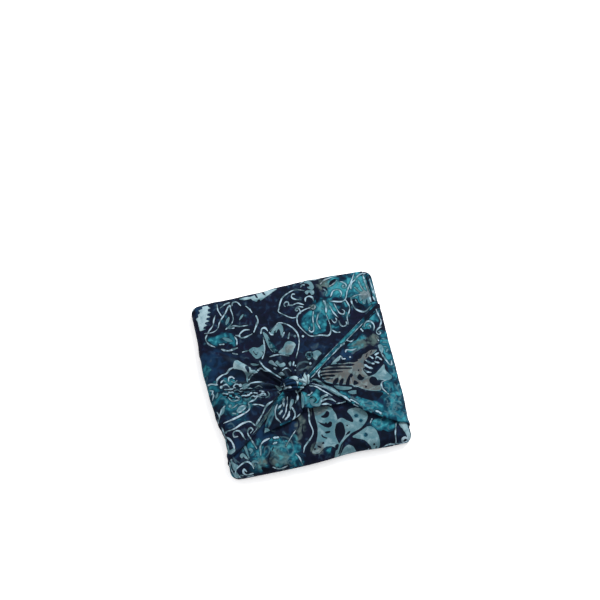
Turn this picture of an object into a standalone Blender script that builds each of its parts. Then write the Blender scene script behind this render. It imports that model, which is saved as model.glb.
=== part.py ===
"""A flat furoshiki wrap: one square cloth folded round a thin box, tied on top in a square knot with two short tails."""
import math

import bmesh
import bpy
import numpy as np

# The tables are in millimetres and MM turns them into metres.
MM = 0.001

# The parcel under the flaps.
HALF = 100.0
BODY_HEIGHT = 14.0
RIM_RADIUS = 7.0
FOOT_RADIUS = 4.0
CROWN = 2.0
CORNER_RADIUS = {"back_left": 8.0, "back_right": 8.5, "front_left": 12.0, "front_right": 8.0}

# How far the real outline is off the plain square: the corners, and soft bulges along three sides.
CORNERS = {
    "back_left": (-100.8, 100.8),
    "back_right": (99.8, 99.2),
    "front_left": (-96.4, -97.4),
    "front_right": (97.0, -100.4),
}
BULGES = (
    # side, place along it, half width, how far outwards
    ("back", 33.0, 45.0, 3.2),
    ("front", 36.0, 26.0, -2.4),
    ("front", -35.0, 40.0, 0.8),
    ("left", 15.0, 42.0, 2.4),
    ("right", -20.0, 50.0, 0.8),
)

# Each flap lies this far above the parcel, and its underside runs inside it.
BOTTOM_LIFT = 1.0
TOP_LIFT = 2.2
LEFT_LIFT = 3.4
RIGHT_LIFT = 3.8
EDGE_LIFT = 1.0
UNDER = -1.3
HEM_WIDTH = 4.0
HEM_LIFT = 0.45
START_LIFT = -0.7

# Edges of the flaps from the foot of the parcel to the knot: along, first edge x, y and second edge x, y.
LEFT_FLAP = (
    (0.00, -108.0, -80.0, -108.0, 58.0),
    (0.09, -99.0, -74.5, -99.0, 57.5),
    (0.20, -88.0, -67.5, -88.0, 52.0),
    (0.28, -80.0, -61.5, -80.5, 47.5),
    (0.48, -65.0, -50.5, -67.0, 36.5),
    (0.68, -48.0, -37.0, -50.0, 19.0),
    (0.84, -34.5, -27.0, -35.5, 3.0),
    (0.94, -25.0, -21.5, -27.0, -8.5),
    (1.00, -18.0, -19.5, -20.0, -12.5),
)
RIGHT_FLAP = (
    (0.00, 108.0, 62.0, 108.0, -84.0),
    (0.10, 98.0, 58.3, 98.0, -80.3),
    (0.20, 88.0, 51.0, 88.0, -76.0),
    (0.30, 78.0, 43.5, 78.0, -70.5),
    (0.50, 55.0, 27.5, 57.0, -57.0),
    (0.70, 32.5, 11.5, 36.0, -41.0),
    (0.85, 15.5, -0.5, 21.0, -27.5),
    (0.95, 6.0, -7.5, 8.5, -20.5),
    (1.00, -2.0, -11.5, -1.0, -17.5),
)
TOP_FLAP = (
    (0.00, -90.0, 108.0, 90.0, 108.0),
    (0.20, -96.5, 88.0, 91.5, 88.0),
    (0.40, -99.0, 62.0, 93.5, 62.0),
    (0.60, -98.0, 36.0, 76.0, 34.0),
    (0.80, -62.0, 6.0, 34.0, 4.0),
    (1.00, -26.0, -14.0, 2.0, -14.0),
)
BOTTOM_FLAP = (
    (0.00, -86.0, -108.0, 78.0, -108.0),
    (0.20, -96.0, -88.0, 84.0, -88.0),
    (0.50, -96.0, -60.0, 92.0, -60.0),
    (0.75, -56.0, -34.0, 50.0, -34.0),
    (1.00, -20.0, -20.0, 6.0, -20.0),
)
# Rows of every flap: close together round the rim and again at the knot.
STATIONS = (0.0, 0.035, 0.07, 0.10, 0.125, 0.15, 0.19, 0.25, 0.32, 0.40, 0.48, 0.56, 0.64, 0.72, 0.79, 0.85, 0.90, 0.95, 1.0)

# Pleats: place across the flap at its foot and at the knot, half width there, height in the middle and at the knot.
LEFT_PLEATS = (
    (0.30, 0.22, 0.060, 0.6, 2.2),
    (0.47, 0.42, 0.045, 0.5, 2.6),
    (0.60, 0.62, 0.034, 1.8, 4.2),
    (0.88, 0.90, 0.045, 1.8, 3.8),
    (0.14, 0.08, 0.050, 0.5, 1.6),
)
LENS = {"across": 0.76, "along": 0.76, "half_across": 0.085, "half_along": 0.13, "depth": 3.4}
RIGHT_PLEATS = (
    (0.22, 0.20, 0.050, 0.3, 1.5),
    (0.48, 0.42, 0.055, 0.5, 2.2),
    (0.74, 0.66, 0.050, 0.3, 2.0),
    (0.93, 0.93, 0.050, 0.6, 2.8),
)
TOP_PLEATS = (
    (0.50, 0.42, 0.030, 0.0, 3.0),
    (0.58, 0.62, 0.032, 0.0, 2.6),
    (0.66, 0.82, 0.030, 0.0, 3.0),
)

# Tails: along, first edge x, y, lift and second edge x, y, lift.
TAIL_THICKNESS = 1.7
TAIL_LEFT = (
    (0.00, -19.5, -17.0, 9.5, -11.0, -17.0, 9.5),
    (0.20, -27.5, -24.5, 8.0, -10.5, -25.5, 8.6),
    (0.40, -34.0, -31.5, 6.6, -9.0, -33.5, 7.0),
    (0.65, -41.0, -42.5, 5.0, -8.0, -41.5, 5.2),
    (0.85, -46.5, -53.0, 4.0, -9.5, -47.0, 4.2),
    (1.00, -49.5, -63.5, 3.3, -13.5, -50.5, 3.5),
)
TAIL_LEFT_PLEATS = (
    (0.16, 0.14, 0.07, 1.5, 1.0),
    (0.40, 0.36, 0.08, 1.9, 1.1),
    (0.66, 0.62, 0.07, 1.6, 0.9),
    (0.88, 0.90, 0.06, 1.3, 0.8),
)
TAIL_RIGHT = (
    (0.00, -4.0, -18.0, 9.0, 6.0, -17.0, 8.0),
    (0.25, -4.5, -24.5, 8.0, 17.0, -21.0, 4.4),
    (0.55, -6.0, -33.0, 6.2, 30.0, -31.5, 3.2),
    (0.80, -7.0, -39.5, 5.2, 39.0, -39.5, 2.9),
    (1.00, -7.6, -43.6, 4.6, 45.0, -46.5, 2.6),
)
TAIL_RIGHT_PLEATS = (
    (0.08, 0.06, 0.06, 0.9, 0.6),
    (0.40, 0.34, 0.08, 1.3, 0.9),
    (0.72, 0.66, 0.08, 1.1, 0.7),
)

# Knot: each lobe is a row of sections along its middle line: x, y, z, half width, half thickness.
LOBES = {
    "bridge": (
        (-23.5, -14.5, 14.0, 5.0, 4.0),
        (-21.5, -14.8, 21.5, 6.6, 4.8),
        (-16.0, -15.6, 27.2, 7.6, 5.4),
        (-9.0, -16.6, 28.4, 7.8, 5.6),
        (-3.4, -17.4, 24.4, 6.8, 5.0),
        (-1.0, -17.8, 15.0, 5.0, 4.0),
    ),
    "keeper": (
        (1.0, -4.0, 13.5, 4.6, 3.0),
        (1.4, -7.8, 20.2, 5.4, 3.8),
        (1.6, -12.8, 23.2, 5.4, 4.0),
        (0.4, -18.0, 21.4, 4.8, 3.6),
        (-3.0, -23.5, 14.0, 4.2, 3.0),
    ),
    "collar": (
        (-31.0, -22.0, 13.5, 4.4, 3.0),
        (-26.5, -21.5, 18.6, 5.6, 3.8),
        (-19.0, -20.0, 20.6, 7.4, 5.0),
        (-9.0, -17.0, 20.4, 9.0, 6.0),
        (3.0, -13.5, 19.0, 6.6, 4.4),
        (11.0, -12.5, 14.0, 4.6, 3.0),
    ),
}
LOBE_CREASES = {"bridge": (5, 0.16, 0.35), "keeper": (4, 0.14, 1.4), "collar": (6, 0.16, 0.2)}

# The number of faces along and across each piece.
BODY_FACES = 26
CORNER_LINES = 3
ROWS = len(STATIONS) - 1
GRIDS = {"left": (ROWS, 28), "right": (ROWS, 22), "top": (ROWS, 20), "bottom": (ROWS, 8)}
GRIDS["tail_left"] = (12, 20)
GRIDS["tail_right"] = (10, 16)
LOBE_FACES = (20, 14)

CLOTH = (0.045, 0.11, 0.16, 1.0)
NODE = "furoshiki_cloth"
COLLECTION = "furoshiki_wrap"


def start_empty():
    for old in list(bpy.data.objects):
        bpy.data.objects.remove(old, do_unlink=True)
    parts = bpy.data.collections.new(COLLECTION)
    helpers = bpy.data.collections.new("cutters")
    bpy.context.scene.collection.children.link(parts)
    bpy.context.scene.collection.children.link(helpers)
    return parts, helpers


def smooth(low, high, value):
    part = np.clip((np.asarray(value, float) - low) / (high - low), 0.0, 1.0)
    return part * part * (3.0 - 2.0 * part)


def inner_radius(x, y):
    """The corner radius of the flat top inside the rounded rim, for the quarter that a point is in."""
    back = np.where(x < 0, CORNER_RADIUS["back_left"], CORNER_RADIUS["back_right"])
    front = np.where(x < 0, CORNER_RADIUS["front_left"], CORNER_RADIUS["front_right"])
    return np.where(y > 0, back, front) - RIM_RADIUS


def nearest_on_flat(x, y):
    """Splits a point of the laid-out cloth into a place on the flat top's edge, a direction and a distance past it."""
    radius = inner_radius(x, y)
    reach = HALF - RIM_RADIUS - radius
    cx = np.clip(x, -reach, reach)
    cy = np.clip(y, -reach, reach)
    dx, dy = x - cx, y - cy
    length = np.hypot(dx, dy)
    past = np.maximum(length - radius, 0.0)
    safe = np.maximum(length, 1e-9)
    nx, ny = dx / safe, dy / safe
    bx = np.where(past > 0, cx + radius * nx, x)
    by = np.where(past > 0, cy + radius * ny, y)
    return bx, by, nx, ny, past


def rim(past):
    """The rim's section: how far out and down a point has gone, and the lean of its surface."""
    quarter = RIM_RADIUS * math.pi / 2
    turn = np.clip(past, 0.0, quarter) / RIM_RADIUS
    out = RIM_RADIUS * np.sin(turn)
    down = RIM_RADIUS * (1 - np.cos(turn)) + np.maximum(past - quarter, 0.0)
    return out, down, turn


def crown(x, y):
    flat = np.clip(1 - (x / HALF) ** 2, 0, 1) * np.clip(1 - (y / HALF) ** 2, 0, 1)
    waves = 0.35 * np.sin(x / 27.0 + 0.6) * np.cos(y / 31.0) + 0.25 * np.sin(x / 17.0 - y / 23.0 + 1.1)
    return CROWN * flat ** 0.7 + waves * np.minimum(flat * 3.0, 1.0)


def settle(x, y, z):
    """Moves a point of the plain square parcel to the uneven outline that the real cloth has."""
    a, b = (x / HALF + 1) / 2, (y / HALF + 1) / 2
    ax = (1 - a) * ((1 - b) * CORNERS["front_left"][0] + b * CORNERS["back_left"][0])
    ax = ax + a * ((1 - b) * CORNERS["front_right"][0] + b * CORNERS["back_right"][0])
    ay = (1 - a) * ((1 - b) * CORNERS["front_left"][1] + b * CORNERS["back_left"][1])
    ay = ay + a * ((1 - b) * CORNERS["front_right"][1] + b * CORNERS["back_right"][1])
    for side, centre, width, out in BULGES:
        along = y if side in ("left", "right") else x
        across = x if side in ("left", "right") else y
        sign = 1.0 if side in ("right", "back") else -1.0
        push = out * np.exp(-(((along - centre) / width) ** 2)) * smooth(0.45, 0.97, sign * across / HALF)
        if side in ("left", "right"):
            ax = ax + sign * push
        else:
            ay = ay + sign * push
    return np.stack([ax, ay, z], axis=-1) * MM


def wrap(x, y, lift):
    """Puts points of the laid-out cloth on the parcel: flat on top, round the rim and down the side."""
    bx, by, nx, ny, past = nearest_on_flat(x, y)
    out, down, turn = rim(past)
    sideways = out + lift * np.sin(turn)
    z = BODY_HEIGHT - down + crown(bx, by) * np.cos(turn) + lift * np.cos(turn)
    return settle(bx + nx * sideways, by + ny * sideways, z)


def from_table(table, along):
    columns = np.array(table, float).T
    return [np.interp(along, columns[0], column) for column in columns[1:]]


def pleats(table, along, across, near_knot=2.0):
    """Ridges that run along a flap and grow towards the knot, as heights."""
    height = np.zeros_like(along)
    for foot, knot, width, middle, end in table:
        centre = foot + (knot - foot) * along
        grow = middle * smooth(0.15, 0.55, along) + (end - middle) * smooth(0.45, 1.0, along) ** near_knot
        height = height + grow * np.exp(-(((across - centre) / (width * (1.2 + along))) ** 2))
    return height


def grid_block(name, faces, place, helpers):
    """A grid with an underside: place(along, across, top) gives each vertex its spot."""
    mesh = bpy.data.meshes.new(name)
    block = bpy.data.objects.new(name, mesh)
    helpers.objects.link(block)
    shape = bmesh.new()
    bmesh.ops.create_grid(shape, x_segments=faces[0], y_segments=faces[1], size=0.5)
    grown = bmesh.ops.extrude_face_region(shape, geom=list(shape.faces))
    for item in grown["geom"]:
        if isinstance(item, bmesh.types.BMVert):
            item.co.z = 1.0
    spots = np.array([v.co[:] for v in shape.verts])
    placed = place(spots[:, 0] + 0.5, spots[:, 1] + 0.5, spots[:, 2] > 0.5)
    for vertex, spot in zip(shape.verts, placed):
        vertex.co = spot
    bmesh.ops.recalc_face_normals(shape, faces=shape.faces)
    bmesh.ops.triangulate(shape, faces=shape.faces)
    shape.to_mesh(mesh)
    shape.free()
    block.hide_render = True
    block.display_type = "WIRE"
    return block


def spread(across, rows, hem, hems):
    """Puts the two outermost rows of a grid on the inner line of its hem, so that the hem stands up by itself."""
    row = across * rows
    start = 1.4 * hem if hems[0] else 2 / rows
    stop = 1 - (1.4 * hem if hems[1] else 2 / rows)
    middle = start + (stop - start) * (row - 2) / (rows - 4)
    first = 0.9 * hem if hems[0] else 1 / rows
    last = 1 - (0.9 * hem if hems[1] else 1 / rows)
    outer = [row < 0.5, row < 1.5, row > rows - 0.5, row > rows - 1.5]
    return np.select(outer, [0.0 * row, first + 0.0 * row, 1.0 + 0.0 * row, last + 0.0 * row], middle)


def flap(name, table, lift, folds, hems, fades, helpers, hollow=None):
    """One flap of the cloth, from the foot of its side over the rim to the knot."""
    def place(along, across, top):
        along = np.interp(along, np.linspace(0, 1, len(STATIONS)), STATIONS)
        x0, y0, x1, y1 = from_table(table, along)
        width = np.hypot(x1 - x0, y1 - y0)
        hem = HEM_WIDTH / np.maximum(width, 3 * HEM_WIDTH)
        across = spread(across, GRIDS[name][1], hem, hems)
        x, y = x0 + (x1 - x0) * across, y0 + (y1 - y0) * across
        begin = smooth(0.0, 0.055, along)
        settled = EDGE_LIFT + (lift - EDGE_LIFT) * smooth(0.08, 0.26, along)
        rise = START_LIFT + (settled - START_LIFT) * begin + pleats(folds, along, across)
        for at, has_hem in zip((across, 1 - across), hems):
            if has_hem:
                rise = rise + HEM_LIFT * begin * (1 - smooth(hem, 1.3 * hem, at))
        for at, fade in zip((across * width, (1 - across) * width), fades):
            if fade:
                rise = START_LIFT + (rise - START_LIFT) * smooth(0.0, fade, at)
        if hollow:
            far = ((across - hollow["across"]) / hollow["half_across"]) ** 2
            far = far + ((along - hollow["along"]) / hollow["half_along"]) ** 2
            rise = rise - hollow["depth"] * np.exp(-far)
        return wrap(x, y, np.where(top, rise, UNDER))
    return grid_block(name, GRIDS[name], place, helpers)


def tail(name, table, folds, helpers):
    """A free end of the cloth: a sheet that leaves the knot and lies just above the flaps."""
    def place(along, across, top):
        x0, y0, z0, x1, y1, z1 = from_table(table, along)
        x, y = x0 + (x1 - x0) * across, y0 + (y1 - y0) * across
        bow = 1.6 * np.sin(math.pi * across) * smooth(0.5, 1.0, along)
        outward = np.hypot(x + 9.0, y + 17.0)
        x = x + (x + 9.0) / outward * bow
        y = y + (y + 17.0) / outward * bow
        rise = z0 + (z1 - z0) * across + pleats(folds, along, across, 1.0) * smooth(0.0, 0.25, along)
        return wrap(x, y, np.where(top, rise, rise - TAIL_THICKNESS))
    return grid_block(name, GRIDS[name], place, helpers)


def lobe(name, sections, helpers):
    """A lobe of the knot: a ball drawn out along a curved middle line, with a few creases along it."""
    mesh = bpy.data.meshes.new(name)
    block = bpy.data.objects.new(name, mesh)
    helpers.objects.link(block)
    shape = bmesh.new()
    bmesh.ops.create_uvsphere(shape, u_segments=LOBE_FACES[0], v_segments=LOBE_FACES[1], radius=1.0)
    spots = np.array([v.co[:] for v in shape.verts])
    along = np.arccos(np.clip(-spots[:, 2], -1, 1)) / math.pi
    round_end = np.sqrt(np.clip(1 - (2 * along - 1) ** 6, 0, 1))
    angle = np.arctan2(spots[:, 1], spots[:, 0])
    table = np.array(sections, float)
    marks = np.linspace(0, 1, len(table))
    x, y, z, wide, thick = (np.interp(along, marks, column) for column in table.T)
    ahead = np.stack([np.gradient(table[:, k], marks) for k in range(3)], axis=-1)
    ahead = np.stack([np.interp(along, marks, ahead[:, k]) for k in range(3)], axis=-1)
    ahead /= np.linalg.norm(ahead, axis=1)[:, None]
    across = np.cross(np.array([0.0, 0.0, 1.0]), ahead)
    across /= np.linalg.norm(across, axis=1)[:, None]
    over = np.cross(ahead, across)
    count, depth, phase = LOBE_CREASES[name]
    folds = 1 - depth * np.abs(np.sin(count * angle / 2 + phase)) ** 3
    side = (wide * np.cos(angle) * folds * round_end)[:, None] * across
    rise = (thick * np.sin(angle) * folds * round_end)[:, None] * over
    middle = np.stack([x, y, z], axis=-1)
    placed = middle + side + rise
    for vertex, spot in zip(shape.verts, settle(placed[:, 0], placed[:, 1], placed[:, 2])):
        vertex.co = spot
    bmesh.ops.triangulate(shape, faces=shape.faces)
    bmesh.ops.recalc_face_normals(shape, faces=shape.faces)
    shape.to_mesh(mesh)
    shape.free()
    block.hide_render = True
    block.display_type = "WIRE"
    return block


def edge_place(part, u, v):
    """Where a line of the parcel's grid meets the flat top's edge, with the last lines gathered into the corner."""
    radius = float(inner_radius(np.array(u), np.array(v)))
    straight = HALF - RIM_RADIUS - radius
    line = abs(part) * BODY_FACES / 2
    before = BODY_FACES / 2 - CORNER_LINES
    if line <= before:
        return math.copysign(straight * line / before, part)
    return math.copysign(straight + radius * math.tan((line - before) / CORNER_LINES * math.pi / 4), part)


def body(parts):
    """The closed parcel under the flaps: a grid for the top, then rings down its sides and one flat underside."""
    mesh = bpy.data.meshes.new(NODE)
    parcel = bpy.data.objects.new(NODE, mesh)
    parts.objects.link(parcel)
    shape = bmesh.new()
    bmesh.ops.create_grid(shape, x_segments=BODY_FACES, y_segments=BODY_FACES, size=1.0)
    quarter = RIM_RADIUS * math.pi / 2
    side = BODY_HEIGHT - RIM_RADIUS - FOOT_RADIUS
    rings = [quarter * k / 5 for k in range(1, 6)] + [quarter + side]
    rings += [quarter + side + FOOT_RADIUS * math.pi / 2 * k / 3 for k in (1, 2, 3)]
    edge = [e for e in shape.edges if e.is_boundary]
    level = {v: 0 for v in shape.verts}
    for ring in range(1, len(rings) + 1):
        grown = bmesh.ops.extrude_edge_only(shape, edges=edge)
        for item in grown["geom"]:
            if isinstance(item, bmesh.types.BMVert):
                level[item] = ring
        edge = [e for e in grown["geom"] if isinstance(e, bmesh.types.BMEdge) and e.is_boundary]
        edge = [e for e in edge if all(level[v] == ring for v in e.verts)]
    bmesh.ops.contextual_create(shape, geom=edge)
    for vertex in shape.verts:
        u, v = vertex.co.x, vertex.co.y
        ring = level[vertex]
        longest = max(abs(u), abs(v), 1e-9)
        edge_x = edge_place(u / longest, u, v)
        edge_y = edge_place(v / longest, u, v)
        bx, by, nx, ny, _ = nearest_on_flat(np.array(edge_x), np.array(edge_y))
        start_x, start_y = float(bx), float(by)
        if ring == 0:
            share = longest ** 0.9
            spot_x, spot_y = start_x * share, start_y * share
            z = BODY_HEIGHT + float(crown(np.array(spot_x), np.array(spot_y)))
        else:
            out, down, turn = rim(np.array(min(rings[ring - 1], quarter + side)))
            below = (rings[ring - 1] - quarter - side) / FOOT_RADIUS if ring > 6 else 0.0
            out = float(out) - FOOT_RADIUS * (1 - math.cos(below))
            down = float(down) + FOOT_RADIUS * math.sin(below)
            spot_x, spot_y = start_x + float(nx) * out, start_y + float(ny) * out
            z = BODY_HEIGHT - down + float(crown(bx, by)) * math.cos(float(turn))
            z = 0.0 if ring == len(rings) else z
        vertex.co = settle(np.array(spot_x), np.array(spot_y), np.array(z))
    bmesh.ops.recalc_face_normals(shape, faces=shape.faces)
    upper = [f for f in shape.faces if len(f.verts) <= 4]
    bmesh.ops.triangulate(shape, faces=upper)
    shape.to_mesh(mesh)
    shape.free()
    return parcel


def join(parcel, piece):
    union = parcel.modifiers.new("join " + piece.name, "BOOLEAN")
    union.operation = "UNION"
    union.solver = "EXACT"
    union.object = piece


def keep_outside(mesh):
    """Leaves only the outer skin, without the small closed hollows between the layers in the knot."""
    shape = bmesh.new()
    shape.from_mesh(mesh)
    bmesh.ops.remove_doubles(shape, verts=shape.verts, dist=0.00002)
    skin = {max(shape.verts, key=lambda v: v.co.z)}
    fresh = list(skin)
    while fresh:
        vertex = fresh.pop()
        for edge in vertex.link_edges:
            other = edge.other_vert(vertex)
            if other not in skin:
                skin.add(other)
                fresh.append(other)
    inside = [v for v in shape.verts if v not in skin]
    bmesh.ops.delete(shape, geom=inside, context="VERTS")
    shape.to_mesh(mesh)
    shape.free()


def put_at_origin(thing):
    """Moves the finished mesh so that its box stands centred on the origin with its underside at zero."""
    spots = np.array([v.co[:] for v in thing.data.vertices])
    low, high = spots.min(axis=0), spots.max(axis=0)
    move = np.array([(low[0] + high[0]) / 2, (low[1] + high[1]) / 2, low[2]])
    for vertex, spot in zip(thing.data.vertices, spots - move):
        vertex.co = spot


def cloth_material():
    material = bpy.data.materials.new(NODE)
    material.use_nodes = True
    shader = material.node_tree.nodes["Principled BSDF"]
    shader.inputs["Base Color"].default_value = CLOTH
    shader.inputs["Roughness"].default_value = 0.82
    return material


def main():
    parts, helpers = start_empty()
    parcel = body(parts)
    pieces = [
        flap("bottom", BOTTOM_FLAP, BOTTOM_LIFT, (), (False, False), (14.0, 0.0), helpers),
        flap("top", TOP_FLAP, TOP_LIFT, TOP_PLEATS, (False, False), (16.0, 0.0), helpers),
        flap("left", LEFT_FLAP, LEFT_LIFT, LEFT_PLEATS, (True, False), (0.0, 15.0), helpers, LENS),
        flap("right", RIGHT_FLAP, RIGHT_LIFT, RIGHT_PLEATS, (True, True), (0.0, 0.0), helpers),
        lobe("collar", LOBES["collar"], helpers),
        tail("tail_left", TAIL_LEFT, TAIL_LEFT_PLEATS, helpers),
        tail("tail_right", TAIL_RIGHT, TAIL_RIGHT_PLEATS, helpers),
        lobe("keeper", LOBES["keeper"], helpers),
        lobe("bridge", LOBES["bridge"], helpers),
    ]
    for piece in pieces:
        join(parcel, piece)
    bpy.context.view_layer.update()
    seen = parcel.evaluated_get(bpy.context.evaluated_depsgraph_get())
    joined = bpy.data.meshes.new_from_object(seen)
    parcel.modifiers.clear()
    parcel.data = joined
    joined.name = NODE
    keep_outside(joined)
    put_at_origin(parcel)
    joined.materials.clear()
    joined.materials.append(cloth_material())
    for piece in pieces:
        bpy.data.objects.remove(piece, do_unlink=True)


main()
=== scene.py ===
"""A flat furoshiki wrap: one square batik cotton cloth folded round a thin box and tied in a square knot."""
import math
from types import SimpleNamespace

import bpy
import numpy as np
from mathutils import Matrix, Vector


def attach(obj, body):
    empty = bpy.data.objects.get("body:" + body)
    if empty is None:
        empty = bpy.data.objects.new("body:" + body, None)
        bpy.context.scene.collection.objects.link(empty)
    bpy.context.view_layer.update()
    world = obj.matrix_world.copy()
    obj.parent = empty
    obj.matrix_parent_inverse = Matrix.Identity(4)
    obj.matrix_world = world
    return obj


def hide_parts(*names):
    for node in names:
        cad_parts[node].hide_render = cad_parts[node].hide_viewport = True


bl_info = {
    "name": "Furoshiki wrap",
    "version": (1, 0, 0),
    "blender": (4, 5, 0),
    "location": "View3D > Sidebar > Furoshiki",
    "description": "Builds a cloth parcel with folded flaps, a square knot and two tails in batik cotton",
    "category": "Object",
}

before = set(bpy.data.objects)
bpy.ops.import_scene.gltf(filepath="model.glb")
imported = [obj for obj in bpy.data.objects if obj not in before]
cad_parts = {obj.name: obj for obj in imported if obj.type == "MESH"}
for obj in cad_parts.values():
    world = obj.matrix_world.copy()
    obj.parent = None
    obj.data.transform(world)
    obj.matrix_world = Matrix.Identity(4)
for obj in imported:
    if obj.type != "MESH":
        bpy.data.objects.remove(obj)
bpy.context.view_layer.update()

# Tables are in millimetres and MM turns them into metres.
MM = 0.001
# Moves the tables' origin to the middle of the part's box.
CENTRE = (-0.897374, 1.496483)

# The parcel under the flaps.
HALF = 100.0
BODY_HEIGHT = 14.0
RIM_RADIUS = 7.0
FOOT_RADIUS = 4.0
CROWN = 2.0
PARCEL_FACES = 196
SIDE_CUTS = 20
CORNER_RADIUS = {"back_left": 8.0, "back_right": 8.5, "front_left": 9.5, "front_right": 8.0}
CORNERS = {
    "back_left": (-100.8, 100.8),
    "back_right": (99.8, 99.2),
    "front_left": (-98.8, -99.4),
    "front_right": (97.0, -100.4),
}
BULGES = (
    # side, place along it, half width, how far outwards
    ("back", 33.0, 45.0, 3.2),
    ("front", 36.0, 26.0, -2.4),
    ("front", -35.0, 40.0, 0.8),
    ("left", 15.0, 42.0, 2.4),
    ("left", -59.0, 18.0, -4.6),
    ("right", -20.0, 50.0, 0.8),
)

# How high a flap lies over the parcel at its first line and at the parcel's edge, and a hem over its flap.
START_LIFT = 0.15
EDGE_LIFT = 1.0
HEM_LIFT = 0.45
# Shares of a flap's length: it leaves the parcel's foot over FLUSH and rises to its own layer over CLIMB.
FLUSH = 0.05
CLIMB = (0.08, 0.26)
# Soft waves of a flap, with their height and size, and how far from its edges they die out.
FLAP_WAVES = ((0.4, 36.0), (0.13, 11.0))
CALM_EDGE = 6.0
# Height and spacing of the puckers along a hem, and the width of its stitched groove.
PUCKER = (0.07, 4.0)
STITCH = 0.35
# The ridge height that gives one unit of painted fold shade and highlight, on a flap and on a tail.
FLAP_RIDGE = 1.8
TAIL_RIDGE = 1.4

# Edges of the flaps from the foot of the parcel to the knot: along, first edge x, y and second edge x, y.
LEFT_FLAP = (
    (0.00, -108.0, -85.0, -108.0, 58.0),
    (0.09, -99.0, -80.0, -99.0, 57.5),
    (0.20, -88.0, -74.0, -88.0, 52.0),
    (0.28, -80.0, -68.5, -80.5, 47.5),
    (0.48, -64.0, -58.0, -67.0, 36.5),
    (0.68, -47.5, -44.0, -50.0, 19.0),
    (0.84, -33.5, -31.0, -35.5, 3.0),
    (0.94, -25.0, -23.0, -27.0, -8.5),
    (1.00, -18.0, -19.5, -20.0, -12.5),
)
RIGHT_FLAP = (
    (0.00, 108.0, 62.0, 108.0, -84.0),
    (0.10, 98.0, 58.3, 98.0, -82.0),
    (0.20, 88.0, 51.0, 88.0, -79.0),
    (0.30, 78.0, 43.5, 78.0, -74.0),
    (0.50, 55.0, 27.5, 57.0, -61.5),
    (0.70, 32.5, 11.5, 36.0, -43.0),
    (0.85, 15.5, -0.5, 21.0, -27.5),
    (0.95, 6.0, -7.5, 8.5, -20.5),
    (1.00, -2.0, -11.5, -1.0, -17.5),
)
TOP_FLAP = (
    (0.00, -92.0, 108.0, 90.0, 108.0),
    (0.20, -97.0, 88.0, 91.5, 88.0),
    (0.40, -99.0, 62.0, 93.5, 62.0),
    (0.60, -98.0, 36.0, 76.0, 34.0),
    (0.80, -62.0, 6.0, 34.0, 4.0),
    (1.00, -26.0, -14.0, 2.0, -14.0),
)
BOTTOM_FLAP = (
    (0.00, -88.0, -108.0, 78.0, -108.0),
    (0.20, -96.0, -88.0, 84.0, -88.0),
    (0.50, -96.0, -60.0, 92.0, -60.0),
    (0.75, -56.0, -34.0, 50.0, -34.0),
    (1.00, -20.0, -20.0, 6.0, -20.0),
)

# Pleats: place across the flap at its foot and at the knot, half width, height in the middle and at the knot.
LEFT_PLEATS = (
    (0.30, 0.22, 0.040, 0.7, 2.2),
    (0.39, 0.32, 0.022, 0.3, 1.4),
    (0.47, 0.42, 0.035, 0.6, 2.6),
    (0.60, 0.62, 0.030, 1.8, 4.2),
    (0.69, 0.73, 0.018, 0.2, 1.2),
    (0.88, 0.90, 0.042, 1.8, 3.8),
    (0.20, 0.14, 0.020, 0.2, 1.0),
    (0.14, 0.08, 0.035, 0.5, 1.6),
)
# The deep pocket in the left flap, beside the knot: its middle, its half sizes, its depth and the strength of
# its painted shade.
POCKET = {"across": 0.76, "along": 0.76, "half_across": 0.085, "half_along": 0.13, "depth": 3.4, "shade": 1.2}
RIGHT_PLEATS = (
    (0.12, 0.10, 0.020, 0.0, 0.9),
    (0.22, 0.20, 0.040, 0.3, 1.5),
    (0.34, 0.31, 0.020, 0.0, 0.9),
    (0.48, 0.42, 0.045, 0.5, 2.2),
    (0.60, 0.54, 0.020, 0.1, 1.1),
    (0.74, 0.66, 0.040, 0.3, 2.0),
    (0.84, 0.80, 0.020, 0.0, 1.0),
    (0.93, 0.93, 0.040, 0.6, 2.8),
)
TOP_PLEATS = (
    (0.00, 0.36, 0.013, 0.0, 2.6),
    (0.43, 0.24, 0.016, 0.0, 2.0),
    (0.48, 0.44, 0.020, 0.0, 3.2),
    (0.54, 0.54, 0.012, 0.0, 1.8),
    (0.57, 0.62, 0.020, 0.0, 3.2),
    (0.60, 0.71, 0.022, 0.0, 3.6),
    (0.66, 0.84, 0.022, 0.0, 3.2),
)

# Each flap: its edges and pleats, the lift of its layer, which edges have a hem, how wide each edge fades
# into the cloth beside it, faces along and across, a number for its noise, and its flat area and size.
FLAPS = {
    "bottom": dict(
        table=BOTTOM_FLAP, folds=(), lift=1.0, hems=(False, False), fades=(14.0, 0.0),
        faces=(130, 240), layer=1, area=0.0125, flat=(0.19, 0.11)),
    "top": dict(
        table=TOP_FLAP, folds=TOP_PLEATS, lift=2.2, hems=(False, False), fades=(16.0, 0.0),
        faces=(170, 270), layer=2, area=0.0185, flat=(0.195, 0.125)),
    "left": dict(
        table=LEFT_FLAP, folds=LEFT_PLEATS, lift=3.4, hems=(True, False), fades=(0.0, 15.0),
        faces=(160, 230), layer=3, area=0.0076, flat=(0.14, 0.1)),
    "right": dict(
        table=RIGHT_FLAP, folds=RIGHT_PLEATS, lift=3.8, hems=(True, True), fades=(0.0, 0.0),
        faces=(180, 230), layer=4, area=0.0096, flat=(0.15, 0.12)),
}

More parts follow.
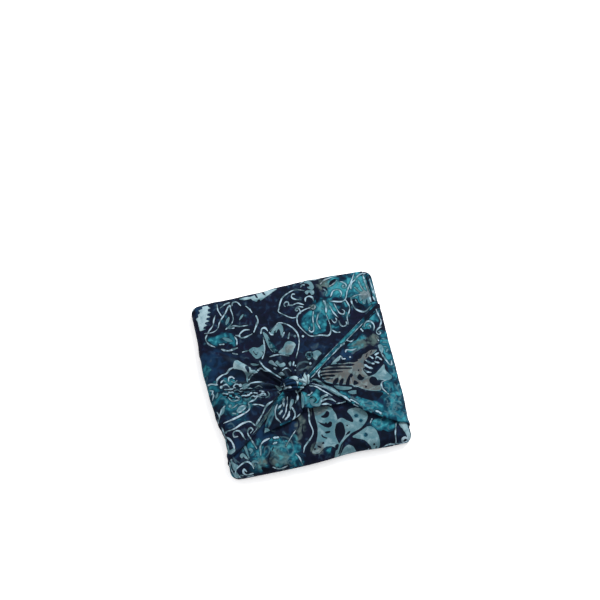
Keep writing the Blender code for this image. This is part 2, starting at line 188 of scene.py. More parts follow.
# Tails: along, first edge x, y, lift and second edge x, y, lift.
TAIL_LEFT = (
    (0.00, -19.5, -17.0, 9.5, -11.0, -17.0, 9.5),
    (0.20, -28.5, -24.0, 8.4, -10.5, -25.5, 8.6),
    (0.40, -37.5, -31.5, 7.4, -9.0, -33.5, 7.0),
    (0.65, -45.0, -41.5, 6.4, -8.0, -41.5, 5.2),
    (0.85, -51.5, -51.0, 5.4, -9.5, -47.0, 4.2),
    (1.00, -55.5, -61.0, 4.2, -13.5, -50.5, 3.5),
)
TAIL_LEFT_PLEATS = (
    (0.16, 0.14, 0.045, 2.2, 1.3),
    (0.28, 0.25, 0.025, 1.1, 0.7),
    (0.40, 0.36, 0.050, 2.7, 1.5),
    (0.53, 0.49, 0.025, 1.2, 0.7),
    (0.66, 0.62, 0.045, 2.3, 1.2),
    (0.78, 0.77, 0.025, 1.0, 0.6),
    (0.88, 0.90, 0.040, 1.8, 1.0),
)
TAIL_RIGHT = (
    (0.00, -4.0, -18.0, 9.0, 6.0, -17.0, 8.0),
    (0.25, -5.6, -24.5, 8.4, 17.0, -21.0, 4.4),
    (0.55, -8.0, -33.0, 7.0, 30.0, -31.5, 3.2),
    (0.80, -9.0, -39.5, 6.2, 39.0, -39.5, 2.9),
    (1.00, -9.4, -43.8, 5.4, 45.0, -46.5, 2.6),
)
TAIL_RIGHT_PLEATS = (
    (0.08, 0.06, 0.040, 1.4, 0.8),
    (0.22, 0.20, 0.030, 0.8, 0.4),
    (0.40, 0.34, 0.050, 1.9, 1.1),
    (0.56, 0.50, 0.030, 0.8, 0.4),
    (0.72, 0.66, 0.050, 1.7, 1.0),
    (0.90, 0.88, 0.040, 1.2, 0.6),
)
TAILS = {
    "left_tail": dict(
        table=TAIL_LEFT, folds=TAIL_LEFT_PLEATS, faces=(110, 90),
        layer=8, flat=(0.05, 0.03), rows="tail_left"),
    "right_tail": dict(
        table=TAIL_RIGHT, folds=TAIL_RIGHT_PLEATS, faces=(80, 110),
        layer=9, flat=(0.045, 0.03), rows="tail_right"),
}
# The tails spread from here, and a tail is about this long.
KNOT_PLACE = (-9.0, -17.0)
TAIL_LENGTH = 50.0

# Knot: each lobe is a row of sections along its middle line: x, y, z, half width, half thickness.
LOBES = {
    "knot_collar": (
        (-31.0, -22.0, 13.5, 4.4, 3.0),
        (-26.5, -21.5, 18.6, 5.6, 3.8),
        (-19.0, -20.0, 20.6, 7.4, 5.0),
        (-9.0, -17.0, 20.4, 9.0, 6.0),
        (3.0, -13.5, 19.0, 6.6, 4.4),
        (11.0, -12.5, 14.0, 4.6, 3.0),
    ),
    "knot_keeper": (
        (1.0, -4.0, 13.5, 4.6, 3.0),
        (1.4, -7.8, 20.2, 5.4, 3.8),
        (1.6, -12.8, 23.2, 5.4, 4.0),
        (0.4, -18.0, 21.4, 4.8, 3.6),
        (-3.0, -23.5, 14.0, 4.2, 3.0),
    ),
    "knot_bridge": (
        (-23.5, -14.5, 14.0, 5.0, 4.0),
        (-21.5, -14.8, 21.5, 6.6, 4.8),
        (-16.0, -15.6, 27.2, 7.6, 5.4),
        (-9.0, -16.6, 28.4, 7.8, 5.6),
        (-3.4, -17.4, 24.4, 6.8, 5.0),
        (-1.0, -17.8, 15.0, 5.0, 4.0),
    ),
}
# Creases along each lobe: place round it in degrees, half width in degrees, depth.
LOBE_CREASES = {
    "knot_bridge": (
        (62.0, 8.0, 0.08), (95.0, 7.0, 0.16), (128.0, 8.0, 0.26), (28.0, 8.0, 0.10), (165.0, 10.0, 0.16)),
    "knot_keeper": ((70.0, 9.0, 0.24), (112.0, 8.0, 0.22), (150.0, 9.0, 0.14)),
    "knot_collar": ((40.0, 8.0, 0.26), (75.0, 7.0, 0.22), (105.0, 7.0, 0.24), (140.0, 8.0, 0.24)),
}

LOBE_FACES = (150, 90)
# A number for each lobe's noise, and its flat size in metres.
LOBE_CLOTH = {
    "knot_collar": (5, (0.035, 0.03)),
    "knot_keeper": (6, (0.03, 0.016)),
    "knot_bridge": (7, (0.03, 0.025)),
}

# A chart lies over the parcel as the camera sees it, to place the print. Its unit is a pixel of the
# photograph, about 1.09 mm. u goes right and v to the front, both from x, y and the height over the rim.
CHART_UNIT = 1.09
CHART_U = (301.85, 0.9117, -0.2141)
CHART_V = (371.16, -0.2001, -0.8531)
CHART_RISE = -0.351
CHART_LEVEL = 16.5
# The usual width of a wax line in millimetres, and the distance that stands for nothing near.
LINE = 1.2
FAR = 9.0
# What a chart keeps for each point: distances to the drawn lines and shapes, amounts of dye and painted fold
# shading.
DISTANCES = ("line", "pale", "dark", "faint")
AMOUNTS = ("teal", "sand", "blue", "fold")
# Faint brush strokes on each flap: how many are tried, and their size in chart units.
STROKES = (260, 4.5)
# Print that no chart draws, under the parcel and on its sides: the box it fills, how many and how far apart.
SPARE_PRINT = (((480, 250, 720, 500), 46, 26.0), ((170, 255, 435, 490), 24, 26.0))
# The underside's print lies on the chart as if turned over, past this place.
UNDER_CHART = 900
# The pieces' prints lie this far apart in the noise, and the underside's further.
LAYER_STEP = 40.0
UNDER_STEP = 400.0
# The weave's threads are this many millimetres apart.
THREAD_PITCH = 0.55
DYES = (
    "navy", "plum", "indigo", "deep_teal", "teal", "bright_teal", "olive",
    "wax", "white_line", "pale", "ink_and_shade", "chalk", "taupe")
WHITE = (1.0, 1.0, 1.0, 1.0)
BLACK = (0.0, 0.0, 0.0, 1.0)

# The stage: each lamp's place and size in metres and its share of the key light, and the middle of the view.
LAMPS = {
    "key": ((0.95, 1.0, 1.15), 0.7, 1.0),
    "fill": ((-0.9, -0.5, 1.4), 1.2, 0.12),
}
VIEW_MIDDLE = (0.01917, 0.08505, 0.0)
SENSOR = 36.0

# The print by piece. The first word names the drawing, and the numbers are its place u, v and its sizes.
# A row of numbers alone is a pale line.
CHARTS = {}
CHARTS["top"] = (
    # clouds of dye
    ("wash", "teal", (206, 337, 214, 337, 222, 333, 231, 334, 237, 340, 235, 347, 226, 344, 216, 348, 209,
        344), 1.0),
    ("wash", "teal", (302, 317, 312, 310, 323, 312, 327, 322, 325, 333, 312, 335, 301, 327), 1.0),
    ("cloud", "teal", (327, 308, 10, 14, 60, 1.5), (341, 286, 17, 15, 0, 1.5), (358, 283, 13, 15, 0, 1.5),
        (362, 297, 12, 9, 0, 1.05), (345, 309, 5, 12, 10, 0.55), (335, 328, 6, 6, 0, 0.5)),
    ("cloud", "sand", (326, 283, 10, 6, 15, 1.0), (366, 291, 7, 9, 0, 0.9)),
    ("cloud", "teal", (203, 362, 7, 9, 0, 0.85)),
    ("cloud", "blue", (212, 362, 22, 17, 0, 0.75), (232, 357, 18, 7, 0, 0.5), (306, 347, 24, 8, 0, 0.6),
        (216, 316, 12, 14, 0, 0.45)),
    ("cloud", "teal", (224, 322, 4, 6, 20, 0.5)),
    # a comb leaf at the left corner
    ("wash", "blue", (193, 306, 208, 305, 208, 322, 199, 331), 1.0),
    ("comb", 205, 305, 26.5, 15, -103, 6),
    # a rosette of open petals
    (204, 333.5, 212, 333, 217, 329, 219, 322, 224, 314, 228.5, 305, 230, 310, 232.5, 318, 231, 324, 225,
        330),
    (207, 333, 212, 326, 213, 320, 214.5, 315), (216, 304, 217, 310, 220.5, 316),
    (219, 308, 224, 304, 229, 302),
    ("leaf_shape", (228.5, 317, 9, 3.6, -112), (243, 314.5, 8, 2.4, -125)),
    (231, 306, 232, 302, 236, 301.5, 240, 305.5), (245, 306, 249, 309.5, 251.5, 313),
    ("line", (255.5, 316, 257.5, 321, 256, 326, 253.5, 333), 1.7),
    (225, 330, 232, 326.5, 240, 327, 247.5, 326), (228, 329, 234, 328.5),
    (252, 334.5, 246, 337.5, 240.5, 338.5, 239, 335.5, 243.5, 331, 249.5, 330.5), (240, 337, 235, 336),
    (206.5, 335, 205, 339, 208, 344.5, 215, 348), (234, 337, 236.5, 341, 236.5, 346),
    (219, 345.5, 224, 345),
    ("line", (221, 350, 228, 351.5, 237.5, 348.5), 1.6),
    (232, 354, 237.5, 355), (242, 353, 249, 351),
    ("leaf_shape", (222, 339, 11, 4, -18)),
    # the pointed outline by the left edge
    (198, 342, 200.5, 350, 209, 354, 218, 358.5, 213, 364.5, 204, 370), (194, 352, 199, 360, 203, 366),
    # small pale leaf with a dark mark
    ("blob", (249, 351, 253, 348, 258, 348.5, 263.5, 345.5, 264, 352, 260.5, 358, 256, 359.5, 252, 355.5)),
    ("line_dark", (253, 352, 256, 355.5, 258, 352.5), 1.1),
    # broken pale leaf along the back edge
    ("wash", "blue", (238, 296, 262, 289, 278, 287, 266, 297, 250, 301), 0.7),
    ("blob", (238, 298.5, 245, 296.5, 251, 296, 257, 292.5, 262, 291.5, 267, 289, 277, 287.5, 270, 293,
        264, 297.5, 258, 301.5, 253, 300.5, 250, 298.5, 244, 299.5)),
    ("void", (253, 291.5, 255.4, 293.6, 257.4, 297.6, 255, 296.8), (260.6, 289.4, 262.8, 291, 265.4, 295,
        262.4, 293.8), (246.4, 302.4, 249, 298.4, 251, 299, 251.6, 302.6), (256, 303, 257.4, 299.6, 259.4,
        299.4, 260, 302.4)),
    ("line", (234, 295, 242, 290.8, 250, 288.6), 1.3),
    # tulip
    (270.5, 331, 275, 326.5, 279, 323, 288, 325.5, 296, 332, 299, 340, 298.5, 349, 296, 359),
    ("blob", (271, 332, 276, 326, 279.5, 323.5, 282.5, 327, 283, 331.5, 281, 336.5, 280, 331.5, 278, 329.5,
        275.5, 334, 275.5, 330.5, 273, 333)),
    ("line", (284, 333, 282, 338), 1.8),
    ("line", (289.5, 333.5, 288, 339.5), 1.6),
    ("spot_pale", (294.8, 337, 1.3)),
    ("line", (260.5, 334.5, 261.5, 329.5, 265, 328.5, 267.5, 331.5), 1.7),
    ("blob", (262.5, 333, 266.5, 335, 270, 341, 273, 347.5, 278.5, 352, 273, 353, 268.5, 348, 265, 340)),
    ("soak_in", "teal", (268, 339, 273, 344, 279, 352, 273, 352.5, 269, 347), 1.0),
    ("blob", (285.5, 343.5, 290, 342, 295.5, 345, 294, 350, 291, 355.5, 284, 355, 278.5, 353.5, 283,
        348.5)),
    ("wash", "sand", (285.5, 344.5, 295, 346, 291, 355, 280, 353), 0.55),
    (263, 338, 264, 345, 264.5, 352, 262, 360), (269, 358, 275, 356, 282, 355.5, 289, 357),
    (269, 332.5, 270.5, 335, 273.5, 335.5),
    ("leaf_shape", (270, 333.5, 4, 3, 0)),
    ("spot_pale", (302.9, 337.2, 1.2)),
    # pleated end of the flap by the knot
    ("blob", (268.5, 363, 272, 361, 273.5, 364.5, 277, 361.5, 279, 365, 284, 363.5, 285.5, 366, 282, 368,
        277, 367.5, 273, 366)),
    ("line", (269, 363.4, 271.6, 361.8, 273.6, 364.6, 277, 367), 1.9),
    ("line", (277.4, 361.6, 278.6, 364.4, 282, 366), 1.8),
    ("line", (279, 375, 281.4, 374.4, 284, 376), 2.3),
    ("line", (289.2, 363.6, 290.2, 367), 1.6),
    ("line", (293.8, 362.8, 293, 367), 1.3),
    ("leaf_shape", (290, 367.5, 5.5, 2.4, 84), (293, 367, 5, 1.8, 76)),
    ("line", (274, 369, 276, 370.5), 1.6),
    ("spot_pale", (295.4, 366.8, 0.8), (295.4, 371.6, 0.8)),
    ("line", (282.3, 371.6, 285, 369.6, 288.4, 369.6, 291, 372.4), 1.1),
    ("blob", (279, 375.5, 281, 373.5, 284, 375, 284.5, 376.5, 281, 377)),
    ("line", (259.5, 362, 264.5, 368.5, 270.5, 372.5, 280.5, 379), 1.6),
    # painted shade filling the pocket beside the knot, where this flap meets it
    ("void", (252, 376.5, 258, 370, 266, 371.5, 274, 376.5, 278, 381, 268, 382, 256, 382)),
    ("line", (252, 376, 256.7, 372.3, 260.9, 369.4, 264.4, 371.4, 269.3, 371.8), 1.5),
    ("blob", (250.4, 364.8, 254, 364.4, 259, 365.6, 256, 366.8, 252.6, 366.4)),
    ("wash", "sand", (296, 363, 304, 361, 311, 363, 308, 371, 299, 372), 0.34),
    ("line_faint", (296.5, 369, 299, 365, 304, 362.8, 309, 363.8), 1.8),
    ("line_faint", (299, 371.5, 303, 370.5, 307, 368), 1.6),
    ("void", (298.5, 369.5, 300.5, 366, 305, 364.5, 308, 366, 304, 369.5)),
    ("spot_pale", (310.4, 364.6, 1.2)),
    ("line_dark", (262, 352, 270, 360, 279, 368, 288, 374), 1.2),
    ("line_dark", (287, 358, 289, 366, 291, 374), 0.9),
    # cloud-shaped leaf
    ("blob", (305.5, 356, 308, 353, 313, 353, 317.5, 351.5, 321.5, 354.5, 318.5, 357.5, 316, 361.5, 312.5,
        359, 308.5, 361)),
    ("soak_in", "teal", (307, 354, 313, 354, 313, 359, 307, 359), 0.9),
    ("void", (308, 356.5, 309.5, 355, 311, 356.5, 310, 358)),
    # big five-petal flower
    (297.5, 317.5, 291, 318, 279, 312.5, 278.5, 309, 280.5, 301, 283.5, 296, 292, 290, 298, 289, 304.5,
        290),
    (302, 299.5, 295.5, 299, 291.5, 297, 292, 294, 294.5, 293.5),
    (304, 304.5, 297.5, 303, 292, 305, 288.5, 305),
    ("ring", 286.2, 304, 2.3),
    (303, 307, 299, 306.5, 296, 307.5),
    ("scroll", 297, 310, 2.4, 20, 1),
    ("blob", (304, 281, 308, 279, 312, 281.5, 314, 286, 312.5, 289, 308, 287.5, 306, 284), (305, 291,
        308.5, 289.5, 313.5, 290, 314, 294, 309.5, 294.5, 306, 293.5)),
    ("void", (307, 295.4, 309.4, 291.6, 311.4, 295.4), (303, 282.4, 308.4, 283, 309.4, 285.4, 304.6, 286)),
    ("line", (300.4, 286.4, 302.4, 283.6, 304.6, 284), 1.3),
    ("line", (305.4, 301, 305.6, 297.6, 309, 295.8, 312.6, 297.4, 313.6, 300.8), 1.4),
    ("line", (300, 282, 305, 278.5, 312, 277.5, 320, 276.5), 1.6),
    ("ring", 313.4, 307, 1.9),
    ("wash", "sand", (310, 304, 316, 304, 316, 310, 310, 310), 1.0),
    (310.5, 307.5, 303, 310.5, 297.5, 315.5, 297, 321, 298.5, 326, 304.5, 332.5, 311, 337, 320.5, 336,
        328.5, 336.5, 331, 332, 330.5, 326, 326.5, 315),
    (313.5, 311.5, 313, 320, 314, 330, 311.5, 333, 309, 330.5, 310, 327.5),
    (318.5, 314, 317, 322, 320.5, 330), (331, 330, 336, 333, 340.5, 333),
    (329, 301, 334, 301.5, 342.5, 301.5, 346.5, 297.5, 348, 290, 352, 280.5, 355, 272),
    (346.5, 300, 350, 307, 349.5, 312, 347.5, 317.5, 349, 325),
    (334.5, 304, 337, 309, 340, 313.5, 344, 314.5, 345, 311.5, 342.5, 309.5),
    (330, 306, 333.5, 312.5, 338.5, 318), (339, 320.5, 340.5, 325, 343.5, 327, 347, 325, 346.5, 322),
    (331.5, 319.5, 334.5, 323, 337, 321, 336, 318.5),
    ("line", (326.5, 313, 326, 305.5, 323.5, 300.5), 1.6),
    ("blob", (322.5, 299.5, 325.5, 300.5, 330, 305.5, 330.5, 309.5, 327, 308, 323, 304)),
    ("soak_in", "teal", (320, 297, 333, 303, 332, 312, 322, 307), 0.8),
    ("scroll", 344.4, 285.4, 2.9, 60, -1),
    (331, 296.5, 333.5, 290.5, 338.5, 289, 342, 292.5, 341, 296.5), (329.5, 285.5, 333.5, 283, 337.5, 279),
    ("line", (320.5, 283, 323.5, 279.5, 328.5, 276.5, 337, 274), 1.5),
    (323.5, 288, 327, 291.5, 325.5, 295.5),
    ("void", (315.5, 286, 318.5, 290, 319, 299, 317, 303, 315, 297, 314.5, 290), (321.5, 285.5, 326.5,
        286.5, 328, 290, 324.5, 289.5), (331, 279.5, 336, 277.5, 335.5, 282, 331.5, 285.5, 329.5, 283)),
    # flower at the right corner
    ("line", (351.5, 288.5, 352, 283, 355, 279.5, 360, 273.5, 366.5, 271), 1.4),
    ("line", (364, 274, 366, 281, 369, 291, 372, 301.5), 1.7),
    (368.5, 293, 363, 288, 359, 279), (368, 293.5, 361.5, 292, 355, 286.5),
    (367.5, 294.5, 359, 294.5, 351.5, 297.5),
    ("line", (351.5, 297.5, 352.5, 303, 355.5, 308, 360.5, 311, 366.5, 311, 372.5, 304.5), 1.5),
    ("blob", (361, 292.5, 366.5, 290, 369.5, 293.5, 371, 301.5, 369, 303.5, 367.5, 298.5, 366, 303.5,
        363.5, 303, 363.5, 298.5, 361, 301, 360, 297)),
    ("void", (352.5, 299.5, 357.5, 298.5, 359.5, 302.5, 365, 305.5, 363, 309.5, 357, 307.5)),
    (356, 299.5, 358, 302.5),
    ("line", (374, 295, 376.5, 299), 2.0),
    ("line_dark", (366.5, 272, 369.5, 282, 372.5, 292, 374.5, 301), 2.0),
)
CHARTS["right"] = (
    ("cloud", "teal", (374, 313, 8, 9, 0, 1.0), (369.6, 326, 6, 6, 0, 0.9), (386, 344, 7, 15, 10, 1.05),
        (358, 341, 12, 4, 25, 0.9), (391, 368, 6, 16, 10, 0.9), (392, 392, 16, 16, 0, 0.85), (371, 407, 30,
        7, -18, 1.1), (346, 397, 10, 3.5, -20, 0.8), (396, 412, 14, 12, 0, 1.05)),
    ("cloud", "sand", (372.5, 341, 7, 6.5, 0, 0.95), (362, 344.5, 8, 5, 20, 1.0)),
    ("cloud", "blue", (386.5, 387, 6, 5, 0, 1.0), (379, 402, 9, 4, -20, 0.8)),
    ("line", (364.6, 328, 365.2, 324.4, 368.6, 322, 372.6, 323, 374.8, 326.6, 374, 331), 1.5),
    ("line", (368, 327.6, 370.4, 326, 371.4, 328.6), 1.0),
    ("line", (361, 329.5, 363.5, 332.5), 1.3),
    (376.5, 309, 379, 315, 381.5, 321, 380, 326.5),
    ("scroll", 379.6, 332.4, 2.8, 140, 1),
    ("line", (376, 337, 379.5, 341.5), 1.2),
    ("leaf_shape", (381.5, 338.5, 5, 1.7, -4), (382.5, 342.5, 6, 1.8, 6), (383.5, 346.5, 4.5, 1.5, -8),
        (386, 352.5, 5, 2.2, 60)),
    ("blob", (378.5, 346, 381, 344.5, 383.5, 347.5, 383.5, 351.5, 381.5, 354.5, 379.5, 350.5)),
    ("line", (381, 353.5, 385, 359, 389.5, 365, 391.5, 364, 391, 360.5), 1.5),
    ("line", (375, 356, 378.5, 354), 1.5),
    # dark teeth under the hem
    ("void", (337, 353, 342, 347, 348, 341.5, 354, 337.5, 359, 336.5, 357, 341, 350, 344, 345, 349, 340,
        353.5)),
    ("line", (341, 347, 344.5, 344.5), 1.7),
    ("line", (347, 341.5, 351, 342.5, 354, 340.5), 1.2),
    ("line", (336, 352, 338, 350), 1.0),
    ("cloud", "blue", (346, 355, 7, 7, 0, 1.05)),
    ("cloud", "teal", (354, 349.5, 8, 3, 18, 1.1)),
    ("line", (345.5, 353.5, 347, 351, 352, 351.5, 357, 349.5), 1.3),
    ("line_faint", (352, 355, 356, 352, 361, 349), 2.2),
    ("line", (341.4, 357.6, 342.6, 360.4, 345.4, 360.2), 1.2),
    ("spot_pale", (350.2, 358.4, 0.9)),
    ("line_dark", (365, 349.5, 371, 347.5, 378, 349), 1.4),
    # the big taupe fern leaf
    ("dyed", "sand", (320.5, 376, 322, 371, 329, 368, 338, 365.5, 348, 363.5, 355, 362, 360, 357.5, 364,
        353.5, 369, 351, 377, 350.5, 374, 355, 367, 361.5, 365, 368, 368, 376, 374, 378, 379, 383, 380.5,
        391, 372, 392, 364, 390.5, 357, 388, 349, 386, 338, 385.5, 326, 383.5), 1.0),
    ("blob", (370, 378, 375, 375, 380, 370, 384, 365.5, 385.5, 371, 392, 377, 388, 381, 380, 381), (330,
        368.5, 333, 363.5, 337, 359.5, 340.5, 357, 340, 360.5, 337.5, 364.5, 335, 366.5)),
    ("void", (352, 361.5, 355, 357, 359.5, 354, 364, 350.5, 370, 348.6, 378.5, 348.8, 378, 350.6, 371,
        351.4, 366.5, 354.5, 363, 356, 361, 359.5, 357, 361)),
    ("line_dark", (336.5, 364.2, 346, 363, 357.5, 361.8), 3.2),
    ("line_dark", (328.5, 367.7, 341, 366.8, 354, 366.2), 2.4),
    ("line_dark", (319.5, 372.2, 334, 370.4, 351.5, 369.6), 2.3),
    ("line_dark", (319.5, 375.4, 330, 373.9, 342.5, 373.4), 2.1),
    ("line_dark", (319.5, 378.6, 326, 377.4, 334.5, 377.2), 2.3),
    ("line_dark", (322, 381.6, 328, 380.4, 333, 380.4), 1.5),
    ("void", (332.5, 385, 335, 380.5, 338.5, 379.5, 337, 384.8), (338.8, 386, 340.5, 381, 343.5, 380,
        342.6, 385.4), (345.5, 386.5, 347, 380.5, 350.5, 375, 353, 376.5, 350, 381, 349, 387), (357, 378.5,
        359.5, 375.2, 362, 377.5, 364.3, 379, 361.5, 381.5, 358.5, 381), (353.6, 386.4, 354, 381.6, 358.6,
        384.4)),
    ("spot", (365.8, 388, 1.1), (358.5, 371.5, 0.9)),
    ("void", (366, 360.4, 370, 357, 374.5, 354.4, 379, 351.5, 384.5, 358, 383, 364, 379, 369.5, 373, 375,
        369, 377.5, 366, 375, 362.5, 370.5, 365, 368.5, 363.5, 364)),
    ("line", (365.5, 361.5, 369.5, 363.8, 374, 365.2), 1.7),
    ("line", (364.5, 366, 368.5, 368.5, 372.5, 369.8), 1.8),
    ("line", (363.8, 370.8, 367, 373, 371, 373.8), 1.5),
    ("line", (379, 353.5, 375.6, 356.4), 1.3),
    ("line", (375.6, 360.4, 377.4, 358, 382, 361.2), 1.3),
    ("line", (374.4, 363, 379.4, 364.2), 1.4),
    ("line", (369, 357, 373.4, 360), 1.3),
    ("line_dark", (370.5, 355, 372, 351.6), 1.1),
    ("line_dark", (366, 358.6, 367.5, 354.6), 1.1),
    ("void", (369, 381, 371.5, 377.8, 375.5, 378.5, 378, 381.5, 383.5, 381.2, 382, 385.5, 375, 386.8,
        370.5, 384.5)),
    ("line", (350.5, 379, 352, 385.5, 355.5, 388, 359.5, 386.5), 0.9),
    ("wash", "blue", (373, 368, 394, 362, 396, 384, 373, 382), 0.4),
    ("line", (386, 381, 381.5, 383.5, 382, 389, 388, 395), 1.3),
    ("line", (319.5, 379, 318.5, 375.5, 320, 372), 1.5),
    ("blob", (334, 387, 341, 387.5, 351, 388.5, 350, 390.5, 343, 391.5, 337, 390), (348, 393, 355.5, 391.5,
        357, 394.5, 351.5, 395.5)),
    ("line_dark", (343, 392.5, 350, 391, 357, 388.5), 1.3),
    ("void", (357, 390.5, 366, 392.5, 376, 393.5, 383, 393.5, 380, 398, 374, 402, 364, 400, 357, 397)),
    ("line_faint", (384, 400, 390, 397, 395, 402, 400, 402), 1.2),
    ("line_faint", (396, 404, 392, 410, 398, 416), 1.4),
    ("line_faint", (394, 384, 397, 390, 400, 396), 1.4),
    ("line_faint", (350, 398, 357, 402, 366, 404), 1.8),
    ("line_faint", (386, 405, 393, 404, 399, 408), 1.6),
    ("line", (350, 400.6, 354, 402.4, 359, 406), 1.2),
    ("line", (353, 405.6, 358, 408), 1.0),
    ("line", (375, 412, 378.6, 413, 381, 415.4), 1.7),
    ("line", (339, 395, 345, 398.6, 350, 402.6), 2.1),
    ("line_faint", (362, 405, 368, 407, 374, 407), 1.8),
    ("line_faint", (384, 412, 390, 414, 397, 415), 1.8),
    ("dyed", "blue", (324, 386, 331, 388.4, 337, 392, 339.5, 395.5, 334, 394.5, 328, 390.5), 0.5),
    ("blob", (322, 386, 329, 388, 337, 393.4, 341, 397.4, 334, 395.4, 327, 391), (309.5, 381, 315, 380,
        321, 383, 325, 386.4, 318, 386.6, 312, 385.6)),
    ("void", (311.8, 382.6, 314.5, 381.8, 318, 384, 314.5, 384.6)),
)
CHARTS["left"] = (
    ("cloud", "teal", (234, 402, 22, 13, 15, 1.0), (213, 393, 9, 12, 0, 1.0), (228, 382, 8, 5, 0, 0.8),
        (250, 397, 9, 6, 20, 0.9)),
    ("cloud", "blue", (208, 368, 18, 18, 0, 1.0), (238, 421, 18, 8, 25, 0.9)),
    ("cloud", "teal", (238, 422, 14, 5, 25, 0.5)),
    ("cloud", "blue", (252, 412, 16, 6, 20, 0.5), (268, 388, 10, 6, 20, 0.5)),
    ("wash", "blue", (229, 372, 236, 369.5, 243, 373, 246, 380, 244, 384, 236, 382, 229, 378), 1.0),
    ("void", (230, 372.5, 236, 370, 243, 373.5, 246.5, 381, 240, 384, 233, 380, 229, 376)),
    ("wash", "blue", (231, 359, 252, 359, 252, 376, 231, 370), 0.6),
    ("blob", (234.5, 362, 239, 360.5, 244, 361.5, 249.5, 365.5, 251.5, 370.5, 256, 369.5, 259, 371, 252,
        374.5, 248.5, 378, 248, 383.5, 246.5, 381, 246, 376.5, 242, 371.5, 233.5, 369.5)),
    ("void", (246, 366, 248.5, 367, 249.5, 371.5, 248.5, 374, 246.5, 371.5, 245, 368.5)),
    ("line", (217, 384.5, 217.5, 380.5, 222, 376.5, 226.5, 374.5, 229.5, 370.5, 233.5, 368.5), 1.5),
    ("line", (207, 385, 212, 384.5, 218, 386), 1.4),
    ("line", (221, 384, 223.5, 381.5, 226.5, 383.5), 1.4),
    ("line", (229, 383, 228.8, 379.4, 231.6, 377.8, 234.4, 379.6), 1.5),
    ("line", (231.4, 382.4, 234.6, 383.6, 237.4, 381.4), 1.2),
    ("line", (223.2, 387, 226.6, 385.6, 229.6, 388.4), 1.3),
    ("line", (233.6, 387.8, 236, 385, 239.2, 385.8), 1.4),
    ("spot_pale", (221.6, 388.4, 1.4), (240.6, 386.4, 1.6)),
    ("squiggles", (221, 388), (262, 399), 22),
    ("line", (244, 388, 248.5, 386, 252, 384, 262, 382.5, 273, 382.5), 1.2),
    ("blob", (242, 386.5, 246, 384.5, 250, 386, 246, 389.5, 243, 389.5), (243.5, 398, 249, 395.5, 257.5,
        394.5, 256, 398, 249.5, 402, 245, 402)),
    ("soak_in", "teal", (243, 398, 257, 394, 256, 399, 246, 403), 0.9),
    ("line", (248.5, 403.5, 255, 400.5, 258, 397.5, 262, 399), 1.3),
    ("line", (255, 389, 259, 387, 262.5, 389), 1.1),
    ("line", (261, 395, 264.5, 394.5, 266.5, 397.5), 1.3),
    ("line", (266, 399, 269.5, 396.5, 268, 393), 1.0),
    # painted shade filling the pocket, and the pale folds round it
    ("void", (248.5, 382.5, 253, 375.5, 260, 371, 267.5, 373, 275, 378.5, 277, 381, 268, 382, 258, 382.5)),
    ("line", (259.5, 362, 264.5, 368.5, 270.5, 372.5, 280.5, 379), 1.8),
    ("line", (249, 381, 252, 376, 256.7, 372.3, 260.9, 369.4, 264.4, 371.4, 269.3, 371.8), 1.5),
    ("blob", (270.5, 373.5, 276, 375, 282, 379.5, 278, 379, 272.5, 376.5)),
    ("line", (251, 366, 256, 365.5, 259.5, 366.5), 1.6),
    ("blob", (275.4, 386.6, 279, 387.4, 282.4, 389.6, 279.6, 391.4, 277, 389.8)),
    # outlines by the edge
    ("void", (214, 414, 219, 419, 222, 425, 220, 430, 216, 424), (219, 428, 224, 430, 226, 436, 222, 437)),
    ("line", (216, 417, 219, 422), 1.0),
    (217.5, 411.5, 220.5, 416.5, 219, 420),
    ("line", (220.5, 415.5, 222.5, 409.5, 225.5, 406.5), 1.4),
    ("leaf_shape", (221.4, 415.4, 9, 4, 66), (238, 412, 9, 5, 30)),
    ("loop", (237.5, 412, 239.5, 408.5, 243.5, 406.5, 246.5, 407, 244, 410.5, 240, 413)),
    ("spot_pale", (230.6, 406.8, 1.4)),
    (232, 409, 235, 407.6, 238, 405.2),
    ("line", (212.6, 399.6, 214.4, 396, 213, 393), 1.4),
    ("leaf_shape", (216.4, 399, 6, 2.6, 70)),
    (209.5, 390, 213.5, 391.5, 212, 394.5),
    ("line", (224.5, 423, 235.5, 419, 247.5, 412.5, 250, 408.5, 248.5, 404), 1.5),
    ("line", (226.5, 431, 235, 429, 243.5, 424, 250.5, 422.5, 256, 426.5), 1.5),
    ("line", (256.5, 426.5, 258, 423, 263, 414.5, 267, 406.5, 273, 402), 1.6),
    ("line", (252, 405.5, 259, 405.5, 265, 407), 1.1),
    (232.5, 414, 236.5, 414.5),
    ("line", (222, 426, 224.5, 431, 228, 431.5), 1.5),
    ("line", (238.5, 436.5, 235, 436.5, 234, 433, 237, 431, 241, 432, 244, 436.5, 246.5, 440), 1.4),
    ("line", (251, 433.5, 253.5, 431, 251.5, 428.5, 248.5, 431, 249, 435.5, 253, 441), 1.4),
    ("line", (228.5, 398.5, 233, 402, 240, 400.5), 1.1),
    # front end of the flap
    ("line", (226.5, 435, 230.5, 438, 233.5, 442, 235.5, 448), 1.4),
    ("blob", (227, 440.5, 229.5, 444, 231, 448.6, 235, 447.8, 236.2, 450.4, 232.6, 453, 228.5, 450)),
    ("line", (223.4, 431.4, 225.6, 436), 1.3),
    ("blob", (224.6, 436, 227.2, 437.4, 227.4, 440, 225.4, 439.4)),
    ("cloud", "teal", (203, 374, 7, 14, 0, 0.75)),
    ("cloud", "blue", (238, 444, 12, 8, -30, 0.7)),
)
